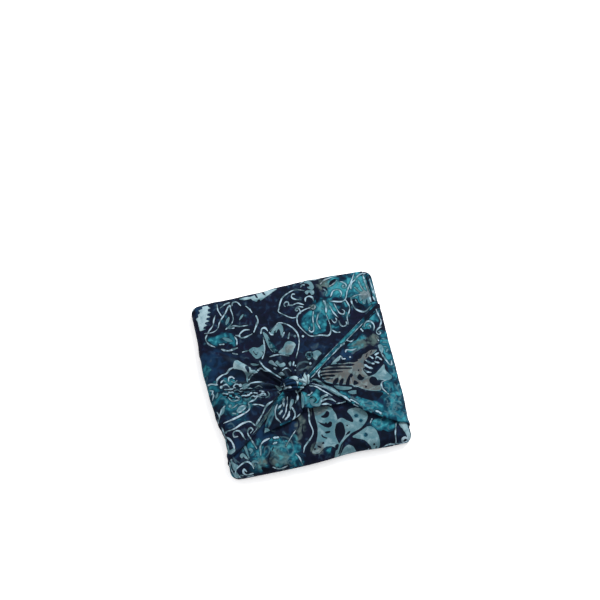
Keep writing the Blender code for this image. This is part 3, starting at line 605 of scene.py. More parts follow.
CHARTS["bottom"] = (
    ("wash", "teal", (246, 440, 250.5, 436.5, 257, 446.5, 263, 455, 258, 462, 250, 456), 1.05),
    ("cloud", "teal", (282, 451, 19, 16, 10, 0.95), (257, 453, 13, 13, 0, 0.8), (296, 461, 10, 6, 15, 1.0),
        (262, 466, 12, 5, 15, 0.8), (281, 441, 9, 4, 0, 0.6)),
    ("cloud", "sand", (280, 455, 12, 11, 30, 0.85), (263, 461, 11, 5, 15, 0.95), (300, 427, 6, 15, -12,
        0.7)),
    ("cloud", "blue", (292, 428, 6, 9, -12, 0.8)),
    ("line_dark", (297, 418, 299, 424, 297.6, 430), 1.6),
    ("line_dark", (303, 424, 302.4, 431, 304.4, 437), 1.4),
    ("cloud", "teal", (383, 423, 14, 8, 8, 1.1)),
    ("cloud", "blue", (262, 434, 16, 8, 0, 1.1)),
    ("cloud", "teal", (326, 448, 6, 4, 0, 0.5)),
    # flower at the left
    ("line", (261.5, 455, 261, 446, 264, 441, 270, 438), 1.5),
    ("line_faint", (265, 452.5, 265.5, 447, 268.5, 446, 270, 448.5, 269.5, 452.5, 267, 455.5), 1.5),
    ("line", (273.5, 437.5, 279, 437), 1.8),
    ("line", (273.5, 443.5, 277, 442), 1.8),
    ("line_faint", (280, 436.5, 286, 437, 291, 440.5, 293.5, 447, 293, 452), 1.5),
    ("line_faint", (293.5, 451.5, 289.5, 456, 284.5, 462.5), 1.7),
    ("line_faint", (275, 458, 281, 461, 288, 459), 1.4),
    ("line_faint", (276, 449, 281, 446, 287, 448, 289, 453), 1.3),
    ("line", (296, 453, 299.5, 456.5, 303, 463), 1.2),
    ("line_dark", (271, 451.5, 269.5, 456, 268.5, 461), 1.5),
    ("line_dark", (274, 446, 272.5, 450), 1.3),
    ("line", (273, 465, 280, 466.5, 288, 463.5), 1.0),
    ("void", (262, 465.5, 270, 466.5, 276, 468.5, 272, 471.5, 265, 470)),
    ("line", (249, 435.5, 253, 441, 257.5, 448), 1.3),
    ("wash", "blue", (222, 438, 240, 438, 240, 456, 222, 456), 0.7),
    ("blob", (238.3, 446.3, 239.5, 443.2, 243, 442.3, 246, 444.4, 248.3, 449.6, 250.3, 457.8, 247, 452.6,
        244.6, 447.4, 242, 445.6, 240.2, 447), (240.8, 455.4, 241.8, 452.9, 244.4, 452.6, 247, 455.2,
        249.4, 458.8, 246.2, 457.4, 244, 455.6, 243, 457.2), (249, 449, 251, 447.4, 253.8, 449, 252.8,
        451.8, 250.6, 453.4, 251.3, 450.9)),
    ("line_faint", (233.5, 453.5, 235, 457.5, 240.5, 461.5), 1.5),
    ("line", (237, 478, 236.5, 470, 240.5, 464.5, 247.5, 460.5, 252.5, 463.5, 254.5, 467), 1.4),
    ("line", (247.5, 469.5, 245, 467.6, 244.4, 470.6, 248, 472.6, 254, 471), 1.7),
    ("line", (244.5, 473.6, 241.6, 473.2, 241.6, 476, 245, 477.4), 1.6),
    ("line", (247.5, 477, 251, 474.5, 255, 474), 1.4),
    ("blob", (230.5, 456.5, 234.5, 461, 239.5, 464.6, 235.6, 469, 232.4, 463), (251.8, 461.8, 254.5, 459.2,
        258, 459.8, 259.4, 462.4, 256.4, 461.4, 254.6, 462.4, 255.6, 465.6, 253, 464.8)),
    # stem
    ("line", (307.5, 406, 309, 414, 309.5, 422, 313, 431.5, 310.5, 438, 305, 445.5, 303.5, 452), 1.3),
    ("line_dark", (312, 406, 313.5, 418, 315.5, 430, 313.5, 439, 309, 446, 307, 456), 3.6),
    ("line", (286, 446, 291, 437, 296, 430), 0.8),
    # big pale leaf with dark veins
    ("dyed", "teal", (312, 409, 324, 406.5, 330.5, 407.5, 334.5, 412, 337, 418.5, 335.5, 425.5, 334.5, 430,
        335.5, 436, 338.5, 443.5, 336, 447, 331.5, 445.5, 325, 446.5, 319, 452, 312, 452, 315.5, 443.5,
        317.5, 433, 316, 423, 313, 415), 0.6),
    ("wash", "sand", (310, 406, 328, 406, 324, 414, 312, 417), 0.75),
    ("wash", "sand", (309, 444, 322, 440, 324, 450, 312, 454), 0.7),
    ("void", (320.5, 417, 324, 414.5, 326.5, 411, 329, 412.5, 328.5, 416, 325, 418), (316.6, 420.8, 320,
        422.4, 324.2, 423.4, 325.8, 421.8, 327.2, 423.4, 329.4, 421.4, 331.6, 422.4, 331.4, 425.6, 328.4,
        427.4, 324, 426.4, 319.6, 423.6), (324.5, 431.5, 329.5, 430.5, 330, 432, 326.5, 433), (321, 433.5,
        324, 436, 327, 437, 326, 438, 322, 436.5)),
    ("spot", (323, 442.4, 1.2)),
    ("void", (317, 444.5, 321, 446, 320, 447.5, 317.5, 446)),
    ("spot", (314.8, 448.4, 1.1)),
    ("void", (334.5, 445.5, 337, 443, 338.5, 444.5, 336.5, 449)),
    # lobed leaves
    ("blob", (336, 424, 337.5, 419.5, 342, 418, 347, 420.5, 352.5, 422, 351.5, 417.5, 347, 411, 353, 408,
        360, 408.5, 366.5, 413.5, 366.5, 419.5, 360, 428, 351.5, 432.5, 345, 439, 341, 447.5, 338, 457,
        335, 457, 335, 451, 338.5, 443.5, 344.5, 434, 344, 427, 341.5, 422.5)),
    ("void", (332.5, 409.5, 338, 411.5, 343.5, 410.5, 349.5, 414.5, 353, 421, 347, 420.5, 341.5, 417.5,
        337.5, 419.5, 335.5, 414), (336.5, 423.5, 341, 422, 344, 427, 343.5, 434.5, 341, 439.5, 338, 436.5,
        335, 431.5, 335.5, 426.5), (345, 435, 347.5, 431.5, 350, 430.5, 348.5, 433.5)),
    ("spot", (346.6, 425.4, 0.9)),
    ("spot_teal", 356, 415.6, 1.8),
    ("spot_teal", 360.4, 420.4, 1.6),
    ("line_dark", (338.5, 452, 342, 443, 350, 435.5, 359.5, 429.5, 366, 423, 369, 415), 2.4),
    ("blob", (352, 436, 359.5, 431, 367.5, 426, 373.5, 427.5, 377, 433, 379, 441, 378, 447.5, 374.5, 450.5,
        371.5, 447.5, 369.5, 444, 363.5, 439.5, 356.5, 438)),
    ("spot_teal", 365, 434.4, 1.8),
    ("spot", (373.2, 442.6, 1.0), (375.6, 445.4, 1.0)),
    ("blob", (342, 449, 346.5, 444.5, 351.5, 444, 356, 449.5, 358, 452.5, 351.5, 454.5, 346, 457, 339.5,
        458)),
    ("void", (347.5, 443, 353, 438.5, 361, 440.5, 368.5, 446, 371, 451.5, 363, 453.5, 357.5, 452, 353.5,
        445.5)),
    ("line", (360.5, 452.5, 364.5, 449.5, 367.5, 449, 368, 451.5), 1.4),
    ("line", (368, 447, 369.5, 450.5), 1.3),
    # right corner
    ("line", (395.5, 422, 394.5, 432, 395.5, 444), 1.2),
    ("wash", "blue", (397, 419, 412, 419, 414, 444, 397, 444), 0.5),
    ("blob", (398, 423, 404, 419, 408.5, 428, 412.5, 438, 409, 440, 405.5, 434, 402, 428.5)),
    ("ring_fat", 404.4, 439.4, 2.9),
    ("line", (379.5, 449.5, 384.5, 444.5, 390, 442.6, 397, 443.6, 406, 445), 1.7),
    ("void", (381.5, 429.5, 388, 431.5, 394, 431, 394, 442, 384, 444, 380, 438)),
    ("line", (371.5, 418.5, 369.5, 423), 1.1),
)
CHARTS["parcel"] = (
    ("cloud", "teal", (374, 290, 8, 18, 10, 0.8)),
    ("scroll", 376, 290, 2.6, 70, 1),
    ("line", (370, 274, 374, 286, 379, 298), 1.2),
    ("scroll", 409, 441, 3.0, 40, 1),
    ("line", (392, 372, 396, 388, 401, 404, 404, 420), 1.0),
    ("blob", (236, 470, 241, 473, 238, 478, 234, 475)),
    ("scroll", 229, 461, 3.0, 90, 1),
    ("line", (222, 436, 226, 450, 231, 466, 238, 478), 1.3),
    ("cloud", "teal", (230, 466, 8, 12, 0, 0.6), (212, 396, 8, 20, 0, 0.8)),
    ("cloud", "blue", (202, 350, 10, 30, 0, 0.6)),
)
CHARTS["knot"] = (
    ("cloud", "teal", (287, 376, 7, 3, 8, 1.1), (301, 386, 4, 5, 0, 0.9)),
    ("cloud", "blue", (291, 384, 9, 6, 0, 0.9), (303, 378, 12, 7, 0, 0.7)),
    ("blob", (289, 378.5, 292.5, 376.5, 296.5, 376.5, 300, 379, 306, 379.5, 308, 382, 302, 382.5, 299,
        381.5, 297.5, 386.5, 296.5, 381.5, 293, 379), (302, 379, 303.5, 375.5, 305, 372.5, 306, 375.5,
        309.5, 374.5, 309, 379.5, 309.5, 383.5, 305.5, 385.5, 302.5, 388.5, 299.5, 392, 300.5, 387, 303,
        383.5)),
    ("void", (297.5, 378.5, 298.5, 378, 299.5, 379.5, 298.5, 380)),
    ("line", (284, 383.5, 285, 387, 287, 388.5), 1.2),
    ("line", (283.5, 389.5, 287.5, 387.5, 291.5, 387.5), 2.0),
    ("line", (274.5, 384, 277.5, 387.5, 283, 386.5), 1.3),
    ("blob", (275.4, 386.6, 279, 387.4, 282.4, 389.6, 279.6, 391.4, 277, 389.8)),
    ("line", (276, 391.5, 280, 393.5), 1.4),
    ("line", (278, 375, 282, 373.5, 285.5, 376), 1.6),
    ("line", (298.5, 391, 297.5, 394, 297, 398), 1.4),
    ("line", (305.4, 383.4, 303, 386.6, 300.4, 389.8), 2.2),
)
CHARTS["tail_left"] = (
    ("cloud", "teal", (279, 402, 4, 12, -22, 0.85)),
    ("cloud", "blue", (287, 410, 9, 12, 0, 0.6)),
    ("cloud", "teal", (285, 426, 8, 3.6, 35, 0.8)),
    ("line", (295.5, 390.5, 298, 394, 297.5, 398.5, 295.5, 403), 1.9),
    ("blob", (290.5, 402, 291.5, 399.5, 294, 400, 293.5, 403.5, 291.5, 406.5, 290.5, 410, 289.5, 406)),
    ("line", (284, 398.5, 283.5, 402, 284, 406.5), 1.9),
    ("line", (287.5, 397, 287.5, 403, 286.5, 408), 1.0),
    ("line", (281.5, 405, 278.5, 408.5), 1.7),
    ("line", (282.5, 410, 279.5, 414.5), 1.8),
    ("line", (289.5, 411.5, 288.5, 416, 285.5, 419.5), 2.0),
    ("line", (277.5, 404.5, 275.5, 410.5, 276.5, 417.5, 281, 422.5), 1.3),
    ("line", (292, 407.5, 294.5, 411.5, 295, 416.5, 290.5, 424, 285, 427.5, 281, 429), 1.7),
    ("line", (283, 418, 286, 412, 286.5, 406), 1.0),
    ("void", (272, 424, 275, 418.5, 280.5, 424.5, 279, 430, 276, 432.5, 271, 428)),
    ("blob", (264, 428.5, 268.5, 428.4, 271.5, 431.4, 276, 431.4, 274.5, 437, 264, 438)),
    ("line_dark", (266, 432.5, 270, 432.4, 273, 435.4), 0.9),
    ("cloud", "teal", (271, 415, 4, 13, -22, 1.0)),
    ("line_faint", (275, 406, 270, 415, 266.4, 424), 2.6),
    ("line_faint", (276, 411, 271.6, 420, 269, 427), 1.8),
    ("cloud", "sand", (272, 412, 3, 9, -22, 0.55)),
    ("line", (300, 414, 292, 423, 284, 431), 1.0),
)
CHARTS["tail_right"] = (
    ("cloud", "teal", (312, 400, 10, 8, 0, 1.7)),
    ("cloud", "blue", (322, 391, 14, 5, -20, 0.7)),
    ("blob", (300, 390.5, 302, 393.5, 304, 397.5, 304.3, 404, 302.6, 408.5, 300.6, 405, 300, 398), (309.5,
        401, 312.5, 399, 314.5, 400, 313, 403, 318, 403.5, 320, 399.5, 321.5, 396.5, 326.5, 394.5, 327.5,
        396, 322.5, 398.5, 321, 403.5, 318.5, 406.5, 312, 405.5)),
    ("line_dark", (309, 399, 311.5, 397.5, 314.5, 397.5, 316, 400.5, 313.5, 403), 1.3),
    ("line", (306.5, 395.5, 309.5, 395, 312, 392.5), 1.2),
    ("line", (321, 401.5, 325.5, 399.5, 330, 399, 335.5, 402), 1.7),
    ("line", (321.5, 404.5, 327, 404, 330, 405, 333.5, 408), 1.5),
    ("line", (309.5, 386, 316, 387, 322, 390.5, 332, 396), 1.2),
    ("line", (336, 404, 342, 403, 346, 401), 1.2),
    ("line_faint", (305, 396, 308.6, 399.6, 311.6, 396.4), 3.0),
    ("line_faint", (305.6, 404, 308.6, 401, 313, 404), 3.2),
    ("line", (305, 384, 302.6, 387, 300.4, 390), 1.8),
    ("spot", (305.8, 405.2, 0.9)),
)


def dye(name, description, default):
    """A colour that a user can change."""
    return bpy.props.FloatVectorProperty(
        name=name, description=description, default=default, size=3, min=0.0, max=1.0, subtype="COLOR")


class ClothSettings(bpy.types.PropertyGroup):
    """Sizes and colours of the cloth."""

    thickness: bpy.props.FloatProperty(
        name="Cloth thickness", description="Thickness of one layer with its nap", default=0.0006,
        min=0.0003, max=0.002, subtype="DISTANCE", unit="LENGTH")
    hem_width: bpy.props.FloatProperty(
        name="Hem width", description="Width of the rolled hem", default=0.005,
        min=0.001, max=0.01, subtype="DISTANCE", unit="LENGTH")
    roughness: bpy.props.FloatProperty(
        name="Roughness", description="Roughness of the cotton", default=0.78,
        min=0.3, max=1.0, subtype="FACTOR")
    navy: dye("Navy", "The dark ground of the print", (0.0034, 0.0058, 0.0145))
    plum: dye("Plum", "The ground where it turns a little redder", (0.0046, 0.0046, 0.0150))
    indigo: dye("Indigo", "The lighter blue in the ground", (0.0046, 0.0195, 0.050))
    deep_teal: dye("Deep teal", "The dark part of the teal clouds", (0.0030, 0.0217, 0.0405))
    teal: dye("Teal", "The bright part of the teal clouds", (0.007, 0.074, 0.107))
    bright_teal: dye("Bright teal", "Brush marks in the teal clouds", (0.030, 0.195, 0.235))
    olive: dye("Olive", "The sandy clouds", (0.052, 0.088, 0.086))
    wax: dye("Wax line", "The lines that the wax kept pale", (0.215, 0.318, 0.382))
    white_line: dye("Bright line", "The wax lines on the blue cloth", (0.36, 0.45, 0.53))
    # The pale leaf colour is also the faint painted highlight on fold ridges.
    pale: dye("Pale leaf", "The solid pale leaves", (0.079, 0.152, 0.178))
    # The ink colour is also the painted shade in fold troughs, knot creases and the pocket.
    ink_and_shade: dye("Ink", "The darkest dye, which gathers beside the wax", (0.0012, 0.0030, 0.0062))
    chalk: dye("White leaf", "The palest solid leaves", (0.245, 0.345, 0.385))
    taupe: dye("Taupe leaf", "The solid leaf that took a brown tint", (0.082, 0.081, 0.079))


class StageSettings(bpy.types.PropertyGroup):
    """The floor, lights and camera."""

    glow: bpy.props.FloatProperty(
        name="Floor glow", description="Light that the floor gives by itself, as a lit table does",
        default=0.26, min=0.0, max=2.0)
    floor: dye("Floor colour", "Colour of the plain floor", (0.93, 0.93, 0.94))
    key: bpy.props.FloatProperty(
        name="Key light", description="Power of the soft key light in watts", default=52.0,
        min=0.0, max=500.0)
    sky: bpy.props.FloatProperty(
        name="Sky", description="Strength of the even light from all round", default=0.8, min=0.0, max=5.0)
    azimuth: bpy.props.FloatProperty(
        name="Camera azimuth", description="Turn of the camera round the parcel", default=math.radians(-13.2),
        subtype="ANGLE")
    elevation: bpy.props.FloatProperty(
        name="Camera elevation", description="Height of the camera above the horizon",
        default=math.radians(67.5), subtype="ANGLE")
    distance: bpy.props.FloatProperty(
        name="Camera distance", description="From the camera to the middle of its view", default=2.5,
        min=0.5, max=10.0, subtype="DISTANCE", unit="LENGTH")
    scale: bpy.props.FloatProperty(
        name="Picture scale", description="Metres across the picture at the middle of its view",
        default=0.6536, min=0.1, max=5.0, subtype="DISTANCE", unit="LENGTH")


def smooth(low, high, value):
    """An even step from 0 at low to 1 at high, or back where low is the larger."""
    part = np.clip((np.asarray(value, float) - low) / (high - low), 0.0, 1.0)
    return part * part * (3.0 - 2.0 * part)


def ripple(x, y, size, seed, count=7):
    """Soft uneven waves of about one size, between -1 and 1."""
    dice = np.random.default_rng(seed)
    total = np.zeros_like(x)
    for _ in range(count):
        turn = dice.uniform(0, math.pi)
        wave = size * dice.uniform(0.7, 1.5)
        total += np.sin((x * math.cos(turn) + y * math.sin(turn)) * 2 * math.pi / wave + dice.uniform(0, 6.3))
    return total / count ** 0.5


def inner_radius(x, y):
    """The flat top's corner radius on the side where a point lies."""
    back = np.where(x < 0, CORNER_RADIUS["back_left"], CORNER_RADIUS["back_right"])
    front = np.where(x < 0, CORNER_RADIUS["front_left"], CORNER_RADIUS["front_right"])
    return np.where(y > 0, back, front) - RIM_RADIUS


def nearest_on_flat(x, y):
    """Splits a point of the laid-out cloth into a place on the flat top, a direction and how far past it."""
    radius = inner_radius(x, y)
    reach = HALF - RIM_RADIUS - radius
    cx = np.clip(x, -reach, reach)
    cy = np.clip(y, -reach, reach)
    dx, dy = x - cx, y - cy
    length = np.hypot(dx, dy)
    past = np.maximum(length - radius, 0.0)
    safe = np.maximum(length, 1e-9)
    nx, ny = dx / safe, dy / safe
    bx = np.where(past > 0, cx + radius * nx, x)
    by = np.where(past > 0, cy + radius * ny, y)
    return bx, by, nx, ny, past


def rim(past):
    """How far out and down cloth lies that runs past the flat top's edge, and how far it has turned."""
    quarter = RIM_RADIUS * math.pi / 2
    turn = np.clip(past, 0.0, quarter) / RIM_RADIUS
    out = RIM_RADIUS * np.sin(turn)
    down = RIM_RADIUS * (1 - np.cos(turn)) + np.maximum(past - quarter, 0.0)
    return out, down, turn


def crown(x, y):
    """The top's low crown, with the unevenness of what lies under the cloth."""
    flat = np.clip(1 - (x / HALF) ** 2, 0, 1) * np.clip(1 - (y / HALF) ** 2, 0, 1)
    waves = 0.35 * np.sin(x / 27.0 + 0.6) * np.cos(y / 31.0) + 0.25 * np.sin(x / 17.0 - y / 23.0 + 1.1)
    return CROWN * flat ** 0.7 + waves * np.minimum(flat * 3.0, 1.0)


def outline(x, y):
    """Moves a place on the plain square to the uneven outline of the real cloth, in millimetres."""
    a, b = (x / HALF + 1) / 2, (y / HALF + 1) / 2
    ax = (1 - a) * ((1 - b) * CORNERS["front_left"][0] + b * CORNERS["back_left"][0])
    ax = ax + a * ((1 - b) * CORNERS["front_right"][0] + b * CORNERS["back_right"][0])
    ay = (1 - a) * ((1 - b) * CORNERS["front_left"][1] + b * CORNERS["back_left"][1])
    ay = ay + a * ((1 - b) * CORNERS["front_right"][1] + b * CORNERS["back_right"][1])
    for side, centre, width, out in BULGES:
        along = y if side in ("left", "right") else x
        across = x if side in ("left", "right") else y
        sign = 1.0 if side in ("right", "back") else -1.0
        push = out * np.exp(-(((along - centre) / width) ** 2)) * smooth(0.45, 0.97, sign * across / HALF)
        if side in ("left", "right"):
            ax = ax + sign * push
        else:
            ay = ay + sign * push
    return ax, ay


def settle(x, y, z):
    """From millimetres on the plain square to the part's own place in metres."""
    ax, ay = outline(x, y)
    return np.stack([ax - CENTRE[0], ay - CENTRE[1], z], axis=-1) * MM


def wrap(x, y, lift):
    """Puts points of the laid-out cloth on the parcel: flat on top, round the rim and down the side."""
    bx, by, nx, ny, past = nearest_on_flat(x, y)
    out, down, turn = rim(past)
    sideways = out + lift * np.sin(turn)
    z = BODY_HEIGHT - down + crown(bx, by) * np.cos(turn) + lift * np.cos(turn)
    return settle(bx + nx * sideways, by + ny * sideways, z)


def from_table(table, along):
    """A table's columns at places along it, which is its first column."""
    columns = np.array(table, float).T
    return [np.interp(along, columns[0], column) for column in columns[1:]]


def pleats(table, along, across, power=1.3):
    """Ridges that run to the knot, each with a shallow trough on both of its sides."""
    height = np.zeros_like(along)
    for foot, knot, width, middle, end in table:
        centre = foot + (knot - foot) * along
        grow = middle * smooth(0.15, 0.5, along) + (end - middle) * smooth(0.4, 1.0, along) ** power
        away = np.abs(across - centre) / (width * (1.2 + along))
        height = height + grow * (np.exp(-(away ** 2)) - 0.4 * np.exp(-(((away - 1.8) / 0.75) ** 2)))
    return np.maximum(height, -0.9)


def curve(points, closed=False, steps=7):
    """A smooth line through a few points, which are pairs or one flat row of numbers."""
    p = np.array(points, float)
    p = p.reshape(-1, 2) if p.ndim == 1 else p
    p = np.vstack([p[-1], p, p[:2]]) if closed else np.vstack([2 * p[0] - p[1], p, 2 * p[-1] - p[-2]])
    t = np.linspace(0, 1, steps, endpoint=False)[:, None]
    parts = []
    for k in range(len(p) - 3):
        a, b, c, d = p[k:k + 4]
        bend = (2 * a - 5 * b + 4 * c - d) * t ** 2 + (3 * b - a - 3 * c + d) * t ** 3
        parts.append(0.5 * (2 * b + (c - a) * t + bend))
    parts.append(p[-2:-1])
    return np.vstack(parts)


def polar(radius, angle):
    """Points round a middle."""
    return np.stack([radius * np.cos(angle), radius * np.sin(angle)], axis=-1)


class Chart:
    """Draws the print on the points of one piece, as distances to lines and shapes and as amounts of dye."""

    def __init__(self, u, v, seed):
        self.u, self.v = u, v
        self.fields = {name: np.full(len(u), FAR) for name in DISTANCES}
        self.fields.update({name: np.zeros(len(u)) for name in AMOUNTS})
        self.dice = np.random.default_rng(seed)

    def near(self, points, reach):
        """The piece's points in the box round a drawing."""
        low, high = points.min(axis=0) - reach, points.max(axis=0) + reach
        return np.nonzero((self.u > low[0]) & (self.u < high[0]) & (self.v > low[1]) & (self.v < high[1]))[0]

    def distance(self, points, index, half=None):
        """From each point to a line, less the line's half width where that is given."""
        best = np.full(len(index), 1e6)
        for k in range(len(points) - 1):
            ax, ay = points[k]
            dx, dy = points[k + 1] - points[k]
            size = dx * dx + dy * dy + 1e-12
            t = np.clip(((self.u[index] - ax) * dx + (self.v[index] - ay) * dy) / size, 0, 1)
            gap = np.hypot(self.u[index] - ax - t * dx, self.v[index] - ay - t * dy)
            if half is not None:
                gap = gap - (half[k] + (half[k + 1] - half[k]) * t)
            best = np.minimum(best, gap)
        return best

    def lower(self, kind, index, gap):
        """Keeps the smaller distance, in millimetres."""
        self.fields[kind][index] = np.minimum(self.fields[kind][index], gap * CHART_UNIT)

    def draw(self, points, width=LINE, kind="line"):
        """A hand-drawn line that swells a little and thins at its ends."""
        points = np.asarray(points, float)
        index = self.near(points, 4.0)
        if not len(index):
            return
        swell = np.linspace(0, 1, len(points))
        half = width / 2 / CHART_UNIT * (1 + 0.28 * np.sin(swell * 11 + self.dice.uniform(0, 6)))
        half = half * (0.4 + 0.6 * np.minimum(1, 6 * np.minimum(swell, 1 - swell) + 0.2))
        self.lower(kind, index, self.distance(points, index, half))

    def inside(self, points, index):
        """Which points lie in a closed outline."""
        odd = np.zeros(len(index), bool)
        for k in range(len(points)):
            ax, ay = points[k - 1]
            bx, by = points[k]
            crosses = (ay > self.v[index]) != (by > self.v[index])
            slope = (bx - ax) * (self.v[index] - ay) / np.where(by == ay, 1e-9, by - ay) + ax
            odd ^= crosses & (self.u[index] < slope)
        return odd

    def fill(self, points, kind="pale"):
        """A solid shape."""
        points = np.asarray(points, float)
        index = self.near(points, 4.0)
        if not len(index):
            return
        gap = self.distance(np.vstack([points, points[:1]]), index)
        self.lower(kind, index, np.where(self.inside(points, index), -gap, gap))

    def soak(self, points, kind, amount):
        """Dye inside a shape, with a soft edge."""
        points = np.asarray(points, float)
        index = self.near(points, 3.0)
        gap = self.distance(np.vstack([points, points[:1]]), index)
        gap = np.where(self.inside(points, index), -gap, gap)
        field = self.fields[kind]
        field[index] = np.maximum(field[index], amount * smooth(1.5, -2.5, gap))

    def put(self, shape, u, v, size, turn, wide=1.0):
        """A shape in its own measure, moved to its place: its first axis points the way of turn."""
        shape = np.asarray(shape, float)
        c, s = math.cos(math.radians(turn)), math.sin(math.radians(turn))
        a, b = shape[:, 0] * size, shape[:, 1] * size * wide
        return np.stack([u + a * c - b * s, v - a * s - b * c], axis=-1)

    def cloud(self, kind, *patches):
        """Patches of dye with uneven soft edges."""
        for u, v, long, wide, turn, amount in patches:
            c, s = math.cos(math.radians(turn)), math.sin(math.radians(turn))
            a = ((self.u - u) * c - (self.v - v) * s) / long
            b = ((self.u - u) * s + (self.v - v) * c) / wide
            seed = int(u * 7 + v * 13)
            far = np.hypot(a, b) + 0.22 * ripple(self.u, self.v, 17.0, seed)
            far = far + 0.1 * ripple(self.u, self.v, 7.0, seed + 1)
            self.fields[kind] = np.maximum(self.fields[kind], amount * smooth(1.35, 0.45, far))

    def line(self, points, width=LINE):
        self.draw(curve(points), width)

    def line_dark(self, points, width):
        self.draw(curve(points), width, "dark")

    def line_faint(self, points, width=LINE):
        self.draw(curve(points), width, "faint")

    def loop(self, points):
        self.draw(curve(points, True))

    def blob(self, *outlines, kind="pale"):
        for points in outlines:
            self.fill(curve(points, True), kind)

    def void(self, *outlines):
        self.blob(*outlines, kind="dark")

    def dyed(self, kind, points, amount):
        """A pale solid shape with a tint of its own."""
        self.blob(points)
        self.wash(kind, points, amount)

    def wash(self, kind, points, amount):
        self.soak(curve(points, True), kind, amount)

    def soak_in(self, kind, points, amount):
        """A tint inside a pale shape: the pale dye gives way to the cloud's."""
        points = curve(points, True)
        self.soak(points, kind, amount)
        index = self.near(points, 0.0)
        odd = index[self.inside(points, index)]
        self.fields["pale"][odd] = np.maximum(self.fields["pale"][odd], 0.1)

    def spot_pale(self, *spots):
        angle = np.linspace(0, 2 * math.pi, 14, endpoint=False)
        for u, v, radius in spots:
            self.fill(self.put(polar(1.0, angle), u, v, radius, 0), "line")

    def spot_teal(self, u, v, radius):
        """A teal spot inside a pale leaf."""
        gap = np.hypot(self.u - u, self.v - v)
        inside = gap < radius
        self.fields["pale"][inside] = FAR
        self.fields["teal"][gap < radius * 1.6] = 0.75

    def ring_fat(self, u, v, radius):
        angle = np.linspace(0, 2 * math.pi, 26)
        self.draw(self.put(polar(1.0, angle), u, v, radius, 0), 2.2)

    def leaf_shape(self, *leaves):
        """Small pale leaves from their roots."""
        shape = [(0, 0), (0.3, 0.38), (0.65, 0.42), (1.0, 0.02), (0.62, -0.4), (0.28, -0.36)]
        for u, v, long, wide, turn in leaves:
            self.fill(self.put(curve(shape, True), u, v, long, turn, wide / long))

    def comb(self, u, v, long, wide, turn, teeth):
        """A pale leaf with pointed teeth on both edges, longer on one of them."""
        edge = [(0.0, 0.12)]
        for k in range(teeth):
            a = (k + 0.25) / teeth
            rise = 0.5 * math.sin(math.pi * (0.16 + 0.74 * a)) ** 0.7
            edge += [(a, rise * 0.45), (a + 0.1 / teeth, rise * 1.02), (a + 0.55 / teeth, rise * 0.5)]
        edge += [(1.0, 0.0)]
        for k in reversed(range(teeth - 2)):
            a = (k + 0.45) / teeth
            rise = 0.5 * math.sin(math.pi * (0.12 + 0.8 * a)) ** 0.8
            edge += [(a + 0.5 / teeth, -rise * 0.62), (a, -rise * (1.0 if k % 2 else 0.8))]
        self.fill(self.put(edge, u, v, long, turn, wide / long))

    def squiggles(self, low, high, count):
        """Short wavy strokes, pale beside dark, like the stamens of a full flower."""
        for k in range(count):
            u = low[0] + (high[0] - low[0]) * ((k * 0.618) % 1)
            v = low[1] + (high[1] - low[1]) * (k + 0.5) / count
            long = self.dice.uniform(4.0, 9.0)
            tilt = self.dice.uniform(-1.0, 1.2)
            bend = self.dice.uniform(-0.9, 0.9)
            row = np.array([
                (u, v), (u + long * 0.35, v + tilt * 0.4 + bend),
                (u + long * 0.7, v + tilt * 0.7 - bend * 0.6), (u + long, v + tilt)])
            self.draw(curve(row + np.array([0.6, 1.5])), self.dice.uniform(1.6, 2.4), "dark")
            self.draw(curve(row), self.dice.uniform(0.7, 1.5), "line" if k % 3 else "faint")

    def ring(self, u, v, radius):
        """An uneven round line that stays open."""
        angle = np.linspace(0.5, 5.9, 26)
        away = 1 + 0.13 * np.sin(2 * angle + u) + 0.02 * angle
        self.draw(self.put(polar(away, angle), u, v, radius, u * 50, 0.9))

    def spot(self, *spots):
        angle = np.linspace(0, 2 * math.pi, 14, endpoint=False)
        for u, v, radius in spots:
            wobble = 1 + 0.15 * np.sin(3 * angle + u)
            self.fill(self.put(polar(wobble, angle), u, v, radius, 0), "dark")

    def scroll(self, u, v, size, turn, hand):
        """A small curl on a short stalk."""
        angle = np.linspace(0, 6.2, 26)
        curl = polar(1.0 - 0.13 * angle, angle) * np.array([1, hand])
        stalk = curve([(0.75, -2.1 * hand), (1.0, -1.4 * hand), (1.06, -0.7 * hand), (1.0, 0.0)])
        self.draw(self.put(np.vstack([stalk[:-1], curl]), u, v, size, turn))

    def petal_shape(self):
        """A notched petal's outline, a little uneven."""
        jitter = self.dice.uniform(-0.05, 0.05, 9)
        half = [(0.06, 0.03), (0.25, 0.26), (0.5, 0.44), (0.76, 0.47), (0.93, 0.30), (1.0, 0.10)]
        notch = [(0.9, 0.0)]
        other = [(a, -b) for a, b in reversed(half)]
        shape = np.array(half + notch + other)
        shape[1:-1, 0] += np.resize(jitter, len(shape) - 2) * 0.6
        shape[1:-1, 1] += np.resize(jitter[::-1], len(shape) - 2) * 0.5
        return shape

    def petal(self, u, v, long, wide, turn, inside):
        """An outlined petal from its root."""
        share = wide / long
        shape = self.petal_shape()
        edge = self.put(curve(shape), u, v, long, turn, share)
        self.draw(edge)
        if inside == "fan":
            for b, reach in ((-0.30, 0.66), (-0.12, 0.78), (0.08, 0.7), (0.26, 0.8)):
                line = curve([(0.16, b * 0.25), (0.4, b * 0.8), (reach, b * 1.1)])
                self.draw(self.put(line, u, v, long, turn, share), LINE * 0.8)
        elif inside == "hooks":
            for a, b, size, hand in ((0.72, 0.18, 0.10, 1), (0.52, -0.16, 0.09, -1), (0.36, 0.1, 0.06, 1)):
                spot = self.put([(a, b)], u, v, long, turn, share)[0]
                self.scroll(spot[0], spot[1], size * long, turn + 80 * hand, hand)
        elif inside == "drop":
            small = curve(shape * np.array([0.62, 0.42]) + np.array([0.16, 0.05]), True)
            inner = self.put(small, u, v, long, turn, share)
            self.soak(inner, "teal", 1.0)
            self.draw(inner, LINE * 0.8)

